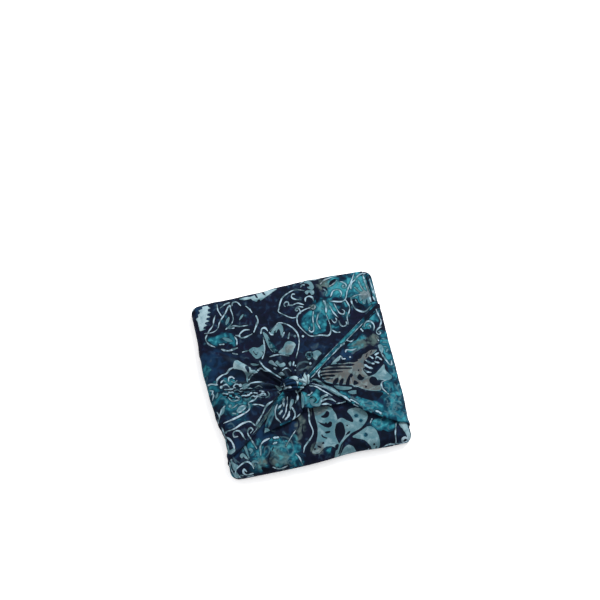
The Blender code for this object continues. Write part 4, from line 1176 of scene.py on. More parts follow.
    def leaf(self, u, v, long, wide, turn, teeth):
        """A solid pale leaf with teeth along one edge and dark veins."""
        top = []
        for k in range(teeth):
            a = (k + 0.3) / teeth
            rise = 0.5 * math.sin(math.pi * min(1.0, a + 0.08)) ** 0.6
            top += [(a, rise * 0.62), (a + 0.45 / teeth, rise)]
        low = [(0.95, -0.12), (0.6, -0.42), (0.25, -0.4), (0.0, 0.0)]
        shape = self.put(np.array([(0.0, 0.05)] + top + [(1.0, 0.0)] + low), u, v, long, turn, wide / long)
        self.fill(shape)

    def fern(self, u, v, long, wide, turn, pairs):
        """A broad taupe leaf: a solid with dark strokes from its rib, like feathers."""
        edge = []
        for side in (1, -1):
            row = []
            for k in range(pairs):
                a = 0.1 + 0.86 * k / pairs
                rise = 0.5 * math.sin(math.pi * a ** 0.9) ** 0.7
                row += [(a, rise * 0.86 * side), (a + 0.5 / pairs, rise * 1.04 * side)]
            edge += row if side == 1 else row[::-1]
            edge += [(1.0, 0.0)] if side == 1 else []
        shape = self.put(np.array([(0.0, 0.0)] + edge), u, v, long, turn, wide / long)
        self.fill(shape)
        self.soak(shape, "sand", 1.0)
        for k in range(pairs):
            a = 0.12 + 0.7 * k / pairs
            reach = 0.42 * math.sin(math.pi * (a + 0.1)) ** 0.7
            for side in (1, -1):
                halfway, end = (a + 0.1, reach * 0.5 * side), (a + 0.14, reach * 0.92 * side)
                line = curve([(a, 0.03 * side), halfway, end])
                self.draw(self.put(line, u, v, long, turn, wide / long), 1.7, "dark")
        rib = self.put(curve([(0.0, 0.0), (0.4, 0.03), (0.88, 0.0)]), u, v, long, turn, wide / long)
        self.draw(rib, 1.6, "dark")

    def fill_gaps(self, count, size):
        """Soft strokes in the tinted places that hold nothing else yet."""
        fields = self.fields
        for _ in range(count):
            k = int(self.dice.integers(0, len(self.u)))
            nearest = min(fields["line"][k], fields["pale"][k], fields["dark"][k])
            if nearest < size * 0.55 or fields["teal"][k] < 0.45 or fields["sand"][k] > 0.3:
                continue
            u, v, turn = self.u[k], self.v[k], self.dice.uniform(0, 360)
            shape = curve([(-0.5, 0.1), (-0.1, -0.16), (0.3, -0.1), (0.5, 0.2)])
            stroke = self.put(shape, u, v, size * self.dice.uniform(0.9, 2.0), turn)
            self.draw(stroke, LINE * self.dice.uniform(0.7, 1.3), "faint")

    def scatter(self, box, count, gap):
        """Fills a stretch that the chart leaves bare: flowers, curls and leaves, evenly apart."""
        taken = []
        for _ in range(count * 12):
            if len(taken) >= count:
                break
            u = self.dice.uniform(box[0], box[2])
            v = self.dice.uniform(box[1], box[3])
            index = self.near(np.array([[u, v]]), gap * 0.4)
            crowded = any(math.hypot(u - a, v - b) < gap for a, b in taken)
            if crowded or self.fields["line"][index].min(initial=FAR) < 1.0:
                continue
            taken.append((u, v))
            kind = self.dice.integers(0, 6)
            turn = self.dice.uniform(0, 360)
            if kind <= 1:
                size = gap * self.dice.uniform(0.75, 1.0)
                for k in range(5):
                    inside = ("fan", "hooks", "drop")[int(self.dice.integers(0, 3))]
                    self.petal(u, v, size, size * 0.75, turn + 72 * k, inside)
                self.ring(u, v, 3.0)
                self.cloud("teal", (u, v, size, size * 0.8, turn, 0.95))
            elif kind == 2:
                self.leaf(u, v, gap, gap * 0.5, turn, 5)
            elif kind == 3:
                self.fern(u, v, gap * 1.3, gap * 0.7, turn, 6)
            else:
                for k in range(3):
                    a = math.radians(turn + 120 * k)
                    away = gap * 0.4
                    hand = 1 - 2 * (k % 2)
                    self.scroll(u + away * math.cos(a), v + away * math.sin(a), 3.6, turn + 90 * k, hand)
                self.cloud("blue", (u, v, gap, gap * 0.8, turn, 0.9))


def chart_place(spots):
    """Where points in millimetres lie on the chart."""
    x, y, z = spots
    u = CHART_U[0] + CHART_U[1] * x + CHART_U[2] * y
    v = CHART_V[0] + CHART_V[1] * x + CHART_V[2] * y + CHART_RISE * (z - CHART_LEVEL)
    return u, v


def draw_rows(chart, rows):
    """Draws each row of a chart: its first word names the drawing, and numbers alone are a pale line."""
    for row in rows:
        name, *facts = row if isinstance(row[0], str) else ("line", row)
        getattr(chart, name)(*facts)


def clear_selection():
    if bpy.context.object and bpy.context.object.mode != "OBJECT":
        bpy.ops.object.mode_set(mode="OBJECT")
    bpy.ops.object.select_all(action="DESELECT")


def new_grid(name, faces):
    """A grid primitive and its points' places along and across, from 0 to 1."""
    clear_selection()
    bpy.ops.mesh.primitive_grid_add(x_subdivisions=faces[0], y_subdivisions=faces[1], size=1.0)
    piece = bpy.context.object
    piece.name = piece.data.name = name
    return piece, read_points(piece) + 0.5


def read_points(piece):
    """A mesh's points as rows of x, y and z."""
    spots = np.empty(len(piece.data.vertices) * 3)
    piece.data.vertices.foreach_get("co", spots)
    return spots.reshape(-1, 3)


def move_points(piece, spots):
    piece.data.vertices.foreach_set("co", np.ascontiguousarray(spots, float).ravel())
    piece.data.update()


def keep_print(piece, chart, cloth):
    """Stores the print and the cloth's own measure on the points of a piece."""
    for name, values in chart.fields.items():
        held = piece.data.attributes.new(name, "FLOAT", "POINT")
        held.data.foreach_set("value", values.astype(np.float32))
    held = piece.data.attributes.new("cloth", "FLOAT_VECTOR", "POINT")
    held.data.foreach_set("vector", np.ascontiguousarray(cloth, np.float32).ravel())


def face_up(piece):
    """Turns a sheet's faces outwards, away from the parcel."""
    normals = np.empty(len(piece.data.polygons) * 3)
    piece.data.polygons.foreach_get("normal", normals)
    if normals.reshape(-1, 3)[:, 2].sum() < 0:
        piece.data.flip_normals()


def finish_piece(piece, thickness, form):
    """Gives a sheet its thickness and a piece its smooth shading, cloth and place in the frame."""
    clear_selection()
    piece.select_set(True)
    bpy.context.view_layer.objects.active = piece
    if thickness:
        shell = piece.modifiers.new("cloth", "SOLIDIFY")
        shell.thickness = thickness
        shell.offset = -1.0
        shell.use_even_offset = True
        bpy.ops.object.modifier_apply(modifier=shell.name)
    bpy.ops.object.shade_smooth_by_angle(angle=math.radians(50))
    piece.data.materials.clear()
    piece.data.materials.append(batik())
    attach(piece, "root")
    form(piece)


def density(count):
    return max(8, int(count * (1.0)))


def hem_roll(at, hem):
    """The rolled hem: a low band with a stitched groove on its inner side and a soft outer edge."""
    band = HEM_LIFT * (1 - smooth(hem * 0.92, hem * 1.12, at))
    groove = 0.16 * np.exp(-(((at - hem * 0.86) / STITCH) ** 2))
    return band - groove - 0.5 * np.exp(-at / STITCH)


def front_bumps(x, y, along, layer):
    """Small bumps in the left side near the front, where the cloth is bunched."""
    return 0.55 * ripple(y, x * 0.5, 9.0, layer + 40) * smooth(0.14, 0.03, along) * smooth(-20.0, -50.0, y)


def build_flap(name, table, folds, lift, hems, fades, faces, layer, area, flat, hollow=None, dress=None):
    """One flap of the cloth, from the foot of its side over the rim to the knot."""
    settings = bpy.context.scene.furoshiki_cloth
    hem = settings.hem_width / MM
    piece, spots = new_grid(name + "_flap", tuple(density(n) for n in faces))
    along, across = spots[:, 0], spots[:, 1]
    x0, y0, x1, y1 = from_table(table, along)
    width = np.hypot(x1 - x0, y1 - y0)
    x, y = x0 + (x1 - x0) * across, y0 + (y1 - y0) * across
    inset = np.minimum(across, 1 - across) * width
    begin = smooth(0.0, FLUSH, along)
    settled = EDGE_LIFT + (lift - EDGE_LIFT) * smooth(*CLIMB, along)
    ridges = pleats(folds, along, across)
    rise = START_LIFT + (settled - START_LIFT) * begin + ridges
    waves = sum(tall * ripple(x, y, size, layer + 9 * k) for k, (tall, size) in enumerate(FLAP_WAVES))
    rise = rise + waves * begin * smooth(0.0, CALM_EDGE, inset)
    edges = (across * width, (1 - across) * width)
    for at, has_hem in zip(edges, hems):
        if has_hem:
            pucker = PUCKER[0] * ripple(along * 90, at * 0.2, PUCKER[1], layer + 20)
            rise = rise + (hem_roll(at, hem) + pucker * (1 - smooth(hem, hem * 1.6, at))) * begin
    for at, fade in zip(edges, fades):
        if fade:
            rise = START_LIFT + (rise - START_LIFT) * smooth(0.0, fade, at)
    # Painted shade in the pleats' troughs and painted highlight on their ridges, faded out near the flap's
    # edges.
    fold = ridges / FLAP_RIDGE * smooth(1.5, CALM_EDGE, inset)
    if hollow:
        far = ((across - hollow["across"]) / hollow["half_across"]) ** 2
        far = far + ((along - hollow["along"]) / hollow["half_along"]) ** 2
        rise = rise - hollow["depth"] * np.exp(-far) + front_bumps(x, y, along, layer)
        # Painted shade darkens the pocket, most in its middle.
        fold = fold - hollow["shade"] * np.exp(-far)
    move_points(piece, wrap(x, y, rise))
    face_up(piece)
    ax, ay = outline(x, y)
    chart = Chart(*chart_place((ax, ay, CHART_LEVEL + ridges)), seed=layer * 31 + 5)
    chart.fields["fold"] = fold
    draw_rows(chart, CHARTS[name])
    chart.fill_gaps(*STROKES)
    if dress:
        dress(chart.fields, along, edges, hem)
    keep_print(piece, chart, np.stack([x, y, np.full_like(x, layer * LAYER_STEP)], axis=-1))
    finish_piece(piece, settings.thickness, lambda made: made)


def right_hems(fields, along, edges, hem):
    """The right flap's hems: above, a teal band between two pale lines with a painted shadow beside it, and
    below, a broken pale line.
    """
    upper, lower = edges
    uneven = ripple(along * 190, upper * 0.3, 14.0, 61)
    bright = smooth(0.25, 0.31, along)
    for at, half in ((0.4, 0.12), (hem + 0.2, 0.36)):
        line = np.abs(upper - at) - half - 0.22 * uneven + 1.6 * (1 - bright)
        fields["line"] = np.minimum(fields["line"], line)
    band = upper < hem + 0.2
    # A painted shadow line on the flap, just past the hem band.
    beside = np.abs(upper - hem - 1.6) - 0.8
    fields["dark"] = np.where(band, 2.0 * bright - 1.0, np.minimum(fields["dark"], beside))
    fields["pale"] = np.where(band, FAR, fields["pale"])
    fields["teal"] = np.where(band, 1.1 * bright, fields["teal"])
    broken = 0.3 * ripple(along * 190, lower * 0.3, 46.0, 62) + 1.9 * smooth(0.6, 0.8, along) - 0.9
    fields["line"] = np.minimum(fields["line"], np.abs(lower - 0.8) - broken)


def left_hem(fields, along, edges, hem):
    """The left flap's lower hem near the knot: a grey-teal band with an uneven pale line and a dark seam."""
    lower = edges[0]
    near_knot = smooth(0.4, 0.6, along)
    uneven = ripple(along * 90, lower * 0.3, 18.0, 63)
    inside = {
        "line": np.abs(lower - 2.6) - 0.25 * near_knot - 0.25 * uneven,
        "pale": FAR,
        "dark": np.abs(lower - hem) - 0.9 * near_knot,
        "teal": 0.75 * near_knot,
        "sand": 0.75 * near_knot,
    }
    for name, value in inside.items():
        fields[name] = np.where((lower < hem) & (along > 0.4), value, fields[name])


def build_parcel():
    """The closed parcel under the flaps, as a grid over the top, one underneath and bridged sides."""
    count = density(PARCEL_FACES) // 2 * 2
    corner = max(2, count // 24)
    clear_selection()
    bpy.ops.mesh.primitive_grid_add(x_subdivisions=count, y_subdivisions=count, size=2.0, location=(0, 0, 1))
    top = bpy.context.object
    bpy.ops.mesh.primitive_grid_add(x_subdivisions=count, y_subdivisions=count, size=2.0, location=(0, 0, -1))
    below = bpy.context.object
    below.data.flip_normals()
    top.select_set(True)
    bpy.context.view_layer.objects.active = top
    bpy.ops.object.transform_apply(location=True, rotation=False, scale=False)
    bpy.ops.object.join()
    parcel = bpy.context.object
    parcel.name = parcel.data.name = "wrapped_parcel"
    bpy.ops.object.mode_set(mode="EDIT")
    bpy.ops.mesh.select_mode(type="EDGE")
    bpy.ops.mesh.select_all(action="DESELECT")
    bpy.ops.mesh.select_non_manifold()
    bpy.ops.mesh.bridge_edge_loops(number_cuts=density(SIDE_CUTS))
    bpy.ops.object.mode_set(mode="OBJECT")
    spots = read_points(parcel)
    u, v, level = spots[:, 0], spots[:, 1], spots[:, 2]
    longest = np.maximum(np.maximum(np.abs(u), np.abs(v)), 1e-9)
    radius = inner_radius(u, v)
    straight = HALF - RIM_RADIUS - radius
    before = count / 2 - corner

    def edge_place(part):
        line = np.abs(part) * count / 2
        bend = np.clip((line - before) / corner, 0, 1) * math.pi / 4
        place = np.where(line <= before, straight * line / before, straight + radius * np.tan(bend))
        return np.copysign(place, part)

    bx, by, nx, ny, _ = nearest_on_flat(edge_place(u / longest), edge_place(v / longest))
    quarter = RIM_RADIUS * math.pi / 2
    side = BODY_HEIGHT - RIM_RADIUS - FOOT_RADIUS
    whole = quarter + side + FOOT_RADIUS * math.pi / 2
    path = (1 - level) / 2 * whole
    out, down, turn = rim(np.minimum(path, quarter + side))
    foot = np.clip(path - quarter - side, 0, None) / FOOT_RADIUS
    out = out - FOOT_RADIUS * (1 - np.cos(foot))
    down = down + FOOT_RADIUS * np.sin(foot)
    above, under = level > 0.9999, level < -0.9999
    flat = above | under
    share = np.where(flat, longest ** 0.9, 1.0)
    wide_x = (bx + nx * out) * share
    wide_y = (by + ny * out) * share
    z = BODY_HEIGHT - down + crown(wide_x, wide_y) * np.cos(turn) * (level > 0)
    z = np.where(under, 0.0, z) + 0.25 * ripple(wide_x, wide_y, 12.0, 77) * above
    move_points(parcel, settle(wide_x, wide_y, z))
    cloth_x = wide_x + nx * (path - out) * (1 - flat)
    cloth_y = wide_y + ny * (path - out) * (1 - flat)
    ax, ay = outline(cloth_x, cloth_y)
    cu, cv = chart_place((ax, ay, CHART_LEVEL))
    cu = np.where(under, UNDER_CHART - cu, cu)
    chart = Chart(cu, cv, seed=11)
    for name in ("top", "right", "left", "bottom", "parcel"):
        draw_rows(chart, CHARTS[name])
    for box, most, gap in SPARE_PRINT:
        chart.scatter(box, most, gap)
    keep_print(parcel, chart, np.stack([cloth_x, cloth_y, np.where(under, UNDER_STEP, 0.0)], axis=-1))
    finish_piece(parcel, 0.0, lambda made: made)
    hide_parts("furoshiki_cloth")


def build_tail(name, table, folds, faces, layer, flat, rows):
    """A free end of the cloth: a sheet that leaves the knot and lies just above the flaps."""
    settings = bpy.context.scene.furoshiki_cloth
    piece, spots = new_grid(name, tuple(density(n) for n in faces))
    along, across = spots[:, 0], spots[:, 1]
    x0, y0, z0, x1, y1, z1 = from_table(table, along)
    width = np.hypot(x1 - x0, y1 - y0)
    x, y = x0 + (x1 - x0) * across, y0 + (y1 - y0) * across
    bow = 1.6 * np.sin(math.pi * across) * smooth(0.5, 1.0, along)
    out_x, out_y = x - KNOT_PLACE[0], y - KNOT_PLACE[1]
    outward = np.hypot(out_x, out_y)
    x, y = x + out_x / outward * bow, y + out_y / outward * bow
    ridges = pleats(folds, along, across, 1.0)
    rise = z0 + (z1 - z0) * across + ridges * smooth(0.0, 0.25, along)
    rise = rise + 0.12 * ripple(x, y, 11.0, layer) * smooth(0.1, 0.4, along)
    hem = settings.hem_width / MM * 0.8
    rise = rise + hem_roll((1 - along) * TAIL_LENGTH, hem) * 0.7
    for at in (across * width, (1 - across) * width):
        rise = rise + hem_roll(at, hem) * 0.6 * smooth(0.35, 0.6, along)
    spots = wrap(x, y, rise)
    move_points(piece, spots)
    face_up(piece)
    whole = (spots / MM).T
    chart = Chart(*chart_place((whole[0] + CENTRE[0], whole[1] + CENTRE[1], whole[2])), seed=layer * 17)
    # Painted shade in the tail's troughs and painted highlight on its ridges, fading out towards its end.
    chart.fields["fold"] = ridges / TAIL_RIDGE * smooth(1.0, 0.7, along)
    draw_rows(chart, CHARTS[rows])
    keep_print(piece, chart, np.stack([x, y, np.full_like(x, layer * LAYER_STEP)], axis=-1))
    finish_piece(piece, settings.thickness, lambda made: made)


def build_lobe(name, layer):
    """A lobe of the knot: a ball drawn out along a curved middle line, with creases along it."""
    clear_selection()
    segments, rings = (density(n) for n in LOBE_FACES)
    bpy.ops.mesh.primitive_uv_sphere_add(segments=segments, ring_count=rings, radius=1.0)
    piece = bpy.context.object
    piece.name = piece.data.name = name
    spots = read_points(piece)
    along = np.arccos(np.clip(-spots[:, 2], -1, 1)) / math.pi
    round_end = np.sqrt(np.clip(1 - (2 * along - 1) ** 6, 0, 1))
    angle = np.arctan2(spots[:, 1], spots[:, 0])
    table = np.array(LOBES[name], float)
    line = curve(table[:, :3], steps=12)
    marks = np.linspace(0, 1, len(line))
    sizes = np.linspace(0, 1, len(table))
    middle = np.stack([np.interp(along, marks, line[:, k]) for k in range(3)], axis=-1)
    wide = np.interp(along, sizes, table[:, 3])
    thick = np.interp(along, sizes, table[:, 4])
    ahead = np.stack([np.gradient(line[:, k], marks) for k in range(3)], axis=-1)
    ahead = np.stack([np.interp(along, marks, ahead[:, k]) for k in range(3)], axis=-1)
    ahead /= np.linalg.norm(ahead, axis=1)[:, None]
    across = np.cross(np.array([0.0, 0.0, 1.0]), ahead)
    across /= np.linalg.norm(across, axis=1)[:, None]
    over = np.cross(ahead, across)
    folds = np.ones_like(along)
    between_ends = np.sin(math.pi * np.clip(along * 1.1 - 0.05, 0, 1)) ** 0.5
    for place, width, depth in LOBE_CREASES[name]:
        wander = 6.0 * np.sin(along * 7 + place)
        gap = (np.degrees(angle) - place - wander + 180) % 360 - 180
        folds = folds - depth * np.exp(-((gap / width) ** 2)) * between_ends
        folds = folds + depth * 0.35 * np.exp(-(((np.abs(gap) - width * 2.2) / width) ** 2))
    folds = folds + 0.025 * ripple(angle * 5, along * 30, 7.0, layer)
    side = (wide * np.cos(angle) * folds * round_end)[:, None] * across
    rise = (thick * np.sin(angle) * folds * round_end)[:, None] * over
    placed = middle + side + rise
    move_points(piece, settle(placed[:, 0], placed[:, 1], placed[:, 2]))
    ax, ay = outline(placed[:, 0], placed[:, 1])
    chart = Chart(*chart_place((ax, ay, placed[:, 2])), seed=layer * 13)
    # Painted shade in the lobe's creases, and a faint painted highlight where it swells between them.
    chart.fields["fold"] = (folds - 1.0) * 4.0
    draw_rows(chart, CHARTS["knot"])
    cloth = np.stack([along * 40, angle * 7, np.full_like(along, layer * LAYER_STEP)], axis=-1)
    keep_print(piece, chart, cloth)
    finish_piece(piece, 0.0, lambda made: made)


class Wire:
    """A socket with Python's sums: they add Math nodes."""

    def __init__(self, board, socket):
        self.board, self.socket = board, socket

    def __add__(self, other):
        return self.board.math("ADD", self, other)

    def __sub__(self, other):
        return self.board.math("SUBTRACT", self, other)

    def __rsub__(self, other):
        return self.board.math("SUBTRACT", other, self)

    def __mul__(self, other):
        return self.board.math("MULTIPLY", self, other)

    __radd__ = __add__
    __rmul__ = __mul__


class Board:
    """Adds nodes to one material."""

    def __init__(self, tree):
        self.tree = tree

    def node(self, kind, settings, sockets, out=0):
        made = self.tree.nodes.new(kind)
        for name, value in settings.items():
            setattr(made, name, value)
        for name, value in sockets.items():
            if isinstance(value, Wire):
                self.tree.links.new(value.socket, made.inputs[name])
            else:
                made.inputs[name].default_value = value
        return Wire(self, made.outputs[out])

    def math(self, operation, first, second=0.0):
        return self.node("ShaderNodeMath", {"operation": operation}, {0: first, 1: second})

    def step(self, value, low, high):
        """0 below low and 1 above high, or the other way round where low is the larger."""
        settings = {"interpolation_type": "SMOOTHSTEP", "clamp": True}
        if low < high:
            sockets = {"Value": value, "From Min": low, "From Max": high}
            return self.node("ShaderNodeMapRange", settings, sockets)
        sockets = {"Value": value, "From Min": high, "From Max": low, "To Min": 1.0, "To Max": 0.0}
        return self.node("ShaderNodeMapRange", settings, sockets)

    def mix(self, share, first, second):
        return self.node("ShaderNodeMix", {"data_type": "RGBA"}, {0: share, 6: first, 7: second}, 2)

    def read(self, name):
        return self.node("ShaderNodeAttribute", {"attribute_name": name}, {}, 2)

    def noise(self, where, scale, detail=2.0, roughness=0.5, swirl=0.0):
        sockets = {
            "Vector": where, "Scale": scale, "Detail": detail, "Roughness": roughness, "Distortion": swirl}
        return self.node("ShaderNodeTexNoise", {}, sockets)


def rgba(colour):
    return (*colour, 1.0)


def uneven_patterns(board, where):
    """Noises over the cloth's own measure, which break up the dyes and the edges of the print."""
    return SimpleNamespace(
        broad=board.noise(where, 0.045, 3.0),
        mottle=board.noise(where, 0.16, 3.0, 0.5, 0.4),
        patch=board.noise(where, 0.10, 3.0, 0.5, 0.6),
        fine=board.noise(where, 0.9, 3.0, 0.6),
        grain=board.noise(where, 1.5, 2.0, 0.7),
        streak=board.noise(where, 0.16, 1.5, 0.45, 0.7),
        wobble=(board.noise(where, 0.5, 1.0) - 0.5) * 1.2,
        bleed=(board.noise(where, 2.2, 2.0) - 0.5) * 0.35,
        smudge=board.step(board.noise(where, 0.17, 1.0, 0.4, 0.8), 0.48, 0.72),
    )


def ground_dye(board, marks, uneven, dyes):
    """The dark ground: navy, redder in places and bluer in others."""
    mottle, streak = uneven.mottle - 0.5, uneven.streak
    ground = board.mix(board.step(uneven.broad + mottle * 0.5, 0.42, 0.72), dyes.navy, dyes.plum)
    ground = board.mix(board.step(marks.blue + mottle * 0.9, 0.25, 1.1), ground, dyes.indigo)
    ground = board.mix(board.step(streak, 0.5, 0.7) * 0.5, ground, dyes.indigo)
    return board.mix(board.step(streak, 0.46, 0.3) * 0.45, ground, dyes.ink_and_shade)


def cloud_dye(board, marks, uneven, dyes, ground):
    """Clouds of teal and of sand over the ground, with brush marks and faint strokes in them."""
    mottle, patch, streak = uneven.mottle - 0.5, uneven.patch - 0.5, uneven.streak - 0.5
    cloud = marks.teal + mottle * 1.2 + patch * 0.9
    dye = board.mix(board.step(cloud, 0.12, 0.7), ground, dyes.deep_teal)
    dye = board.mix(board.step(cloud + streak * 1.5, 0.5, 1.05), dye, dyes.teal)
    sandy = board.step(marks.sand + mottle * 0.8 + streak * 1.4, 0.2, 1.2)
    dye = board.mix(sandy * 0.85, dye, dyes.olive)
    dye = board.mix(sandy * board.step(uneven.streak, 0.5, 0.64) * 0.4, dye, dyes.taupe)
    tinted = board.step(cloud, 0.45, 0.8)
    brush = board.step(uneven.streak + patch * 0.6 + (uneven.grain - 0.5) * 0.12, 0.52, 0.68)
    dye = board.mix(brush * tinted * 0.5, dye, dyes.bright_teal)
    dye = board.mix(board.step(cloud + streak * 1.2, 1.1, 1.6) * 0.7, dye, dyes.bright_teal)
    dye = board.mix(uneven.smudge * 0.55 * tinted, dye, dyes.deep_teal)
    return board.mix(board.step(marks.faint + uneven.wobble * 0.3, 0.3, -0.2) * 0.32, dye, dyes.pale)


def leaf_dye(board, where, marks, uneven, dyes):
    """The pale leaves, white on blue cloth and taupe in the sandy places, with teal stains and crackle."""
    mottle, streak = uneven.mottle - 0.5, uneven.streak
    leaf = board.mix(board.step(marks.blue + mottle * 0.6, 0.3, 0.9), dyes.pale, dyes.chalk)
    leaf = board.mix(board.step(marks.sand + mottle * 0.6, 0.35, 0.75), leaf, dyes.taupe)
    leaf = board.mix(board.step(uneven.patch, 0.46, 0.7) * 0.4, leaf, dyes.teal)
    leaf = board.mix(board.step(marks.teal, 0.2, 0.8) * 0.35, leaf, dyes.teal)
    stain = board.step(marks.sand, 0.3, 0.8) * board.step(uneven.mottle, 0.46, 0.62)
    leaf = board.mix(stain * 0.5, leaf, dyes.olive)
    leaf = board.mix(board.step(uneven.grain + (streak - 0.5) * 0.5, 0.5, 0.3) * 0.35, leaf, dyes.teal)
    leaf = board.mix(board.step(streak, 0.5, 0.7) * 0.3, leaf, dyes.chalk)
    cells = {"Vector": where, "Scale": 0.28, "Randomness": 1.0}
    crack = board.node("ShaderNodeTexVoronoi", {"feature": "DISTANCE_TO_EDGE"}, cells)
    crackle = board.step(crack, 0.05, 0.0) * board.step(uneven.fine, 0.42, 0.62)
    return board.mix(crackle * 0.45, leaf, dyes.deep_teal)


def wax_line(board, marks, uneven, dyes):
    """The pale lines, brighter on blue cloth and browner in the sandy places."""
    wax = board.mix(board.step(uneven.mottle, 0.42, 0.66), dyes.wax, dyes.pale)
    wax = board.mix(board.step(marks.blue, 0.3, 0.7) * 0.5, wax, dyes.white_line)
    return board.mix(board.step(marks.sand, 0.3, 0.9) * 0.6, wax, dyes.taupe)


def printed_colour(board, where, marks, uneven, dyes):
    """Ground, clouds, leaves, dark marks and lines, one over the other, and the painted shade and highlight
    of the folds.
    """
    wobble, bleed = uneven.wobble, uneven.bleed
    in_pale = board.step(marks.pale + wobble * 0.6 + bleed, 0.18, -0.18)
    in_dark = board.step(marks.dark + wobble * 0.4 + bleed, 0.18, -0.18)
    in_line = board.step(marks.line + wobble * 0.3 + bleed, 0.25, -0.2)
    rim_of_line = board.step(marks.line + wobble * 0.35, 1.5, 0.25)
    rim_of_pale = board.step(board.math("ABSOLUTE", marks.pale), 1.1, 0.2)
    ground = ground_dye(board, marks, uneven, dyes)
    colour = cloud_dye(board, marks, uneven, dyes, ground)
    colour = board.mix(board.math("MAXIMUM", rim_of_line, rim_of_pale) * 0.62, colour, dyes.ink_and_shade)
    colour = board.mix(in_pale, colour, leaf_dye(board, where, marks, uneven, dyes))
    # Dark marks: the print's dark shapes, the painted shade filling the pocket and the painted shadow beside
    # the right hem.
    colour = board.mix(in_dark, colour, board.mix(0.5, ground, dyes.ink_and_shade))
    worn = 0.55 + 0.45 * board.step(uneven.streak, 0.62, 0.42)
    colour = board.mix(in_line * worn, colour, wax_line(board, marks, uneven, dyes))
    # Painted shade: fold troughs, knot creases and the pocket darken towards the ink colour.
    colour = board.mix(board.step(marks.fold, -0.04, -0.55) * 0.6, colour, dyes.ink_and_shade)
    # Painted highlight: fold ridges lighten a little towards the pale leaf colour.
    return board.mix(board.step(marks.fold, 0.4, 1.2) * 0.08, colour, dyes.pale)


def plain_weave(board, where):
    """Threads over and under each other, from 0 to 1."""
    parts = board.node("ShaderNodeSeparateXYZ", {}, {"Vector": where})
    weft = Wire(board, parts.socket.node.outputs[1])
    warp_thread = board.math("SINE", parts * (2 * math.pi / THREAD_PITCH))
    weft_thread = board.math("SINE", weft * (2 * math.pi / THREAD_PITCH))
    return warp_thread * weft_thread * 0.5 + 0.5


def batik():
    """Wax-resist cotton: a navy ground, teal and sandy clouds, pale leaves and wax lines on a plain weave."""
    name = "batik_cotton"
    if name in bpy.data.materials:
        return bpy.data.materials[name]
    settings = bpy.context.scene.furoshiki_cloth
    made = bpy.data.materials.new(name)
    made.use_nodes = True
    tree = made.node_tree
    tree.nodes.clear()
    board = Board(tree)
    where = board.node("ShaderNodeAttribute", {"attribute_name": "cloth"}, {}, 1)
    marks = SimpleNamespace(**{kind: board.read(kind) for kind in DISTANCES + AMOUNTS})
    dyes = SimpleNamespace(**{kind: rgba(getattr(settings, kind)) for kind in DYES})
    uneven = uneven_patterns(board, where)
    weave = plain_weave(board, where)
    colour = printed_colour(board, where, marks, uneven, dyes)
    colour = board.mix(weave * 0.10, colour, BLACK)
    height = weave * 0.25 + uneven.fine * 0.35 + uneven.mottle * 0.5
    normal = board.node("ShaderNodeBump", {}, {"Strength": 0.35, "Distance": 0.0003, "Height": height})
    rough = (uneven.mottle - 0.5) * 0.16 + settings.roughness
    shader = tree.nodes.new("ShaderNodeBsdfPrincipled")
    shader.inputs["Specular IOR Level"].default_value = 0.03
    for socket, wire in (("Base Color", colour), ("Roughness", rough), ("Normal", normal)):
        tree.links.new(wire.socket, shader.inputs[socket])
    end = tree.nodes.new("ShaderNodeOutputMaterial")
    tree.links.new(shader.outputs[0], end.inputs["Surface"])
    return made


def lay_floor(stage):
    """A plain pale floor that glows a little."""
    clear_selection()
    bpy.ops.mesh.primitive_plane_add(size=6.0, location=(0.0, 0.0, 0.0))
    floor = bpy.context.object
    floor.name = floor.data.name = "floor"
    matte = bpy.data.materials.new("floor_paper")
    matte.use_nodes = True
    shader = matte.node_tree.nodes["Principled BSDF"]
    for socket, value in (
        ("Base Color", rgba(stage.floor)),
        ("Roughness", 0.9),
        ("Emission Color", WHITE),
        ("Emission Strength", stage.glow),
        ("Specular IOR Level", 0.1),
    ):
        shader.inputs[socket].default_value = value
    floor.data.materials.append(matte)


def light_studio(scene, stage):
    """Even light from all round, and two soft lamps."""
    world = bpy.data.worlds.new("studio")
    scene.world = world
    world.use_nodes = True
    sky = world.node_tree.nodes["Background"]
    sky.inputs["Color"].default_value = WHITE
    sky.inputs["Strength"].default_value = stage.sky
    for name, (place, size, share) in LAMPS.items():
        light = bpy.data.lights.new(name, "AREA")
        light.size = size
        light.energy = stage.key * share
        lamp = bpy.data.objects.new(name, light)
        scene.collection.objects.link(lamp)
        lamp.location = place
        lamp.rotation_euler = (-lamp.location).to_track_quat("-Z", "Y").to_euler()


def place_camera(scene, stage):
    """The camera at the photograph's angle."""
    turn, height = stage.azimuth, stage.elevation
    lens = bpy.data.cameras.new("camera")
    camera = bpy.data.objects.new("camera", lens)
    scene.collection.objects.link(camera)
    back = Vector((math.sin(turn) * math.cos(height), -math.cos(turn) * math.cos(height), math.sin(height)))
    camera.location = Vector(VIEW_MIDDLE) + back * stage.distance
    camera.rotation_euler = back.to_track_quat("Z", "Y").to_euler()
    lens.sensor_width = SENSOR
    lens.lens = SENSOR * stage.distance / stage.scale
    scene.camera = camera
    scene.view_settings.view_transform = "Standard"


class FUROSHIKI_OT_parcel(bpy.types.Operator):
    """Builds the closed parcel that the flaps lie on"""

    bl_idname = "furoshiki.parcel"
    bl_label = "Parcel"

    def execute(self, context):
        build_parcel()
        return {"FINISHED"}


class FUROSHIKI_OT_bottom_flap(bpy.types.Operator):
    """Builds the flap that is folded up first, from the front edge"""

    bl_idname = "furoshiki.bottom_flap"
    bl_label = "Bottom flap"

    def execute(self, context):
        build_flap("bottom", **FLAPS["bottom"])
        return {"FINISHED"}


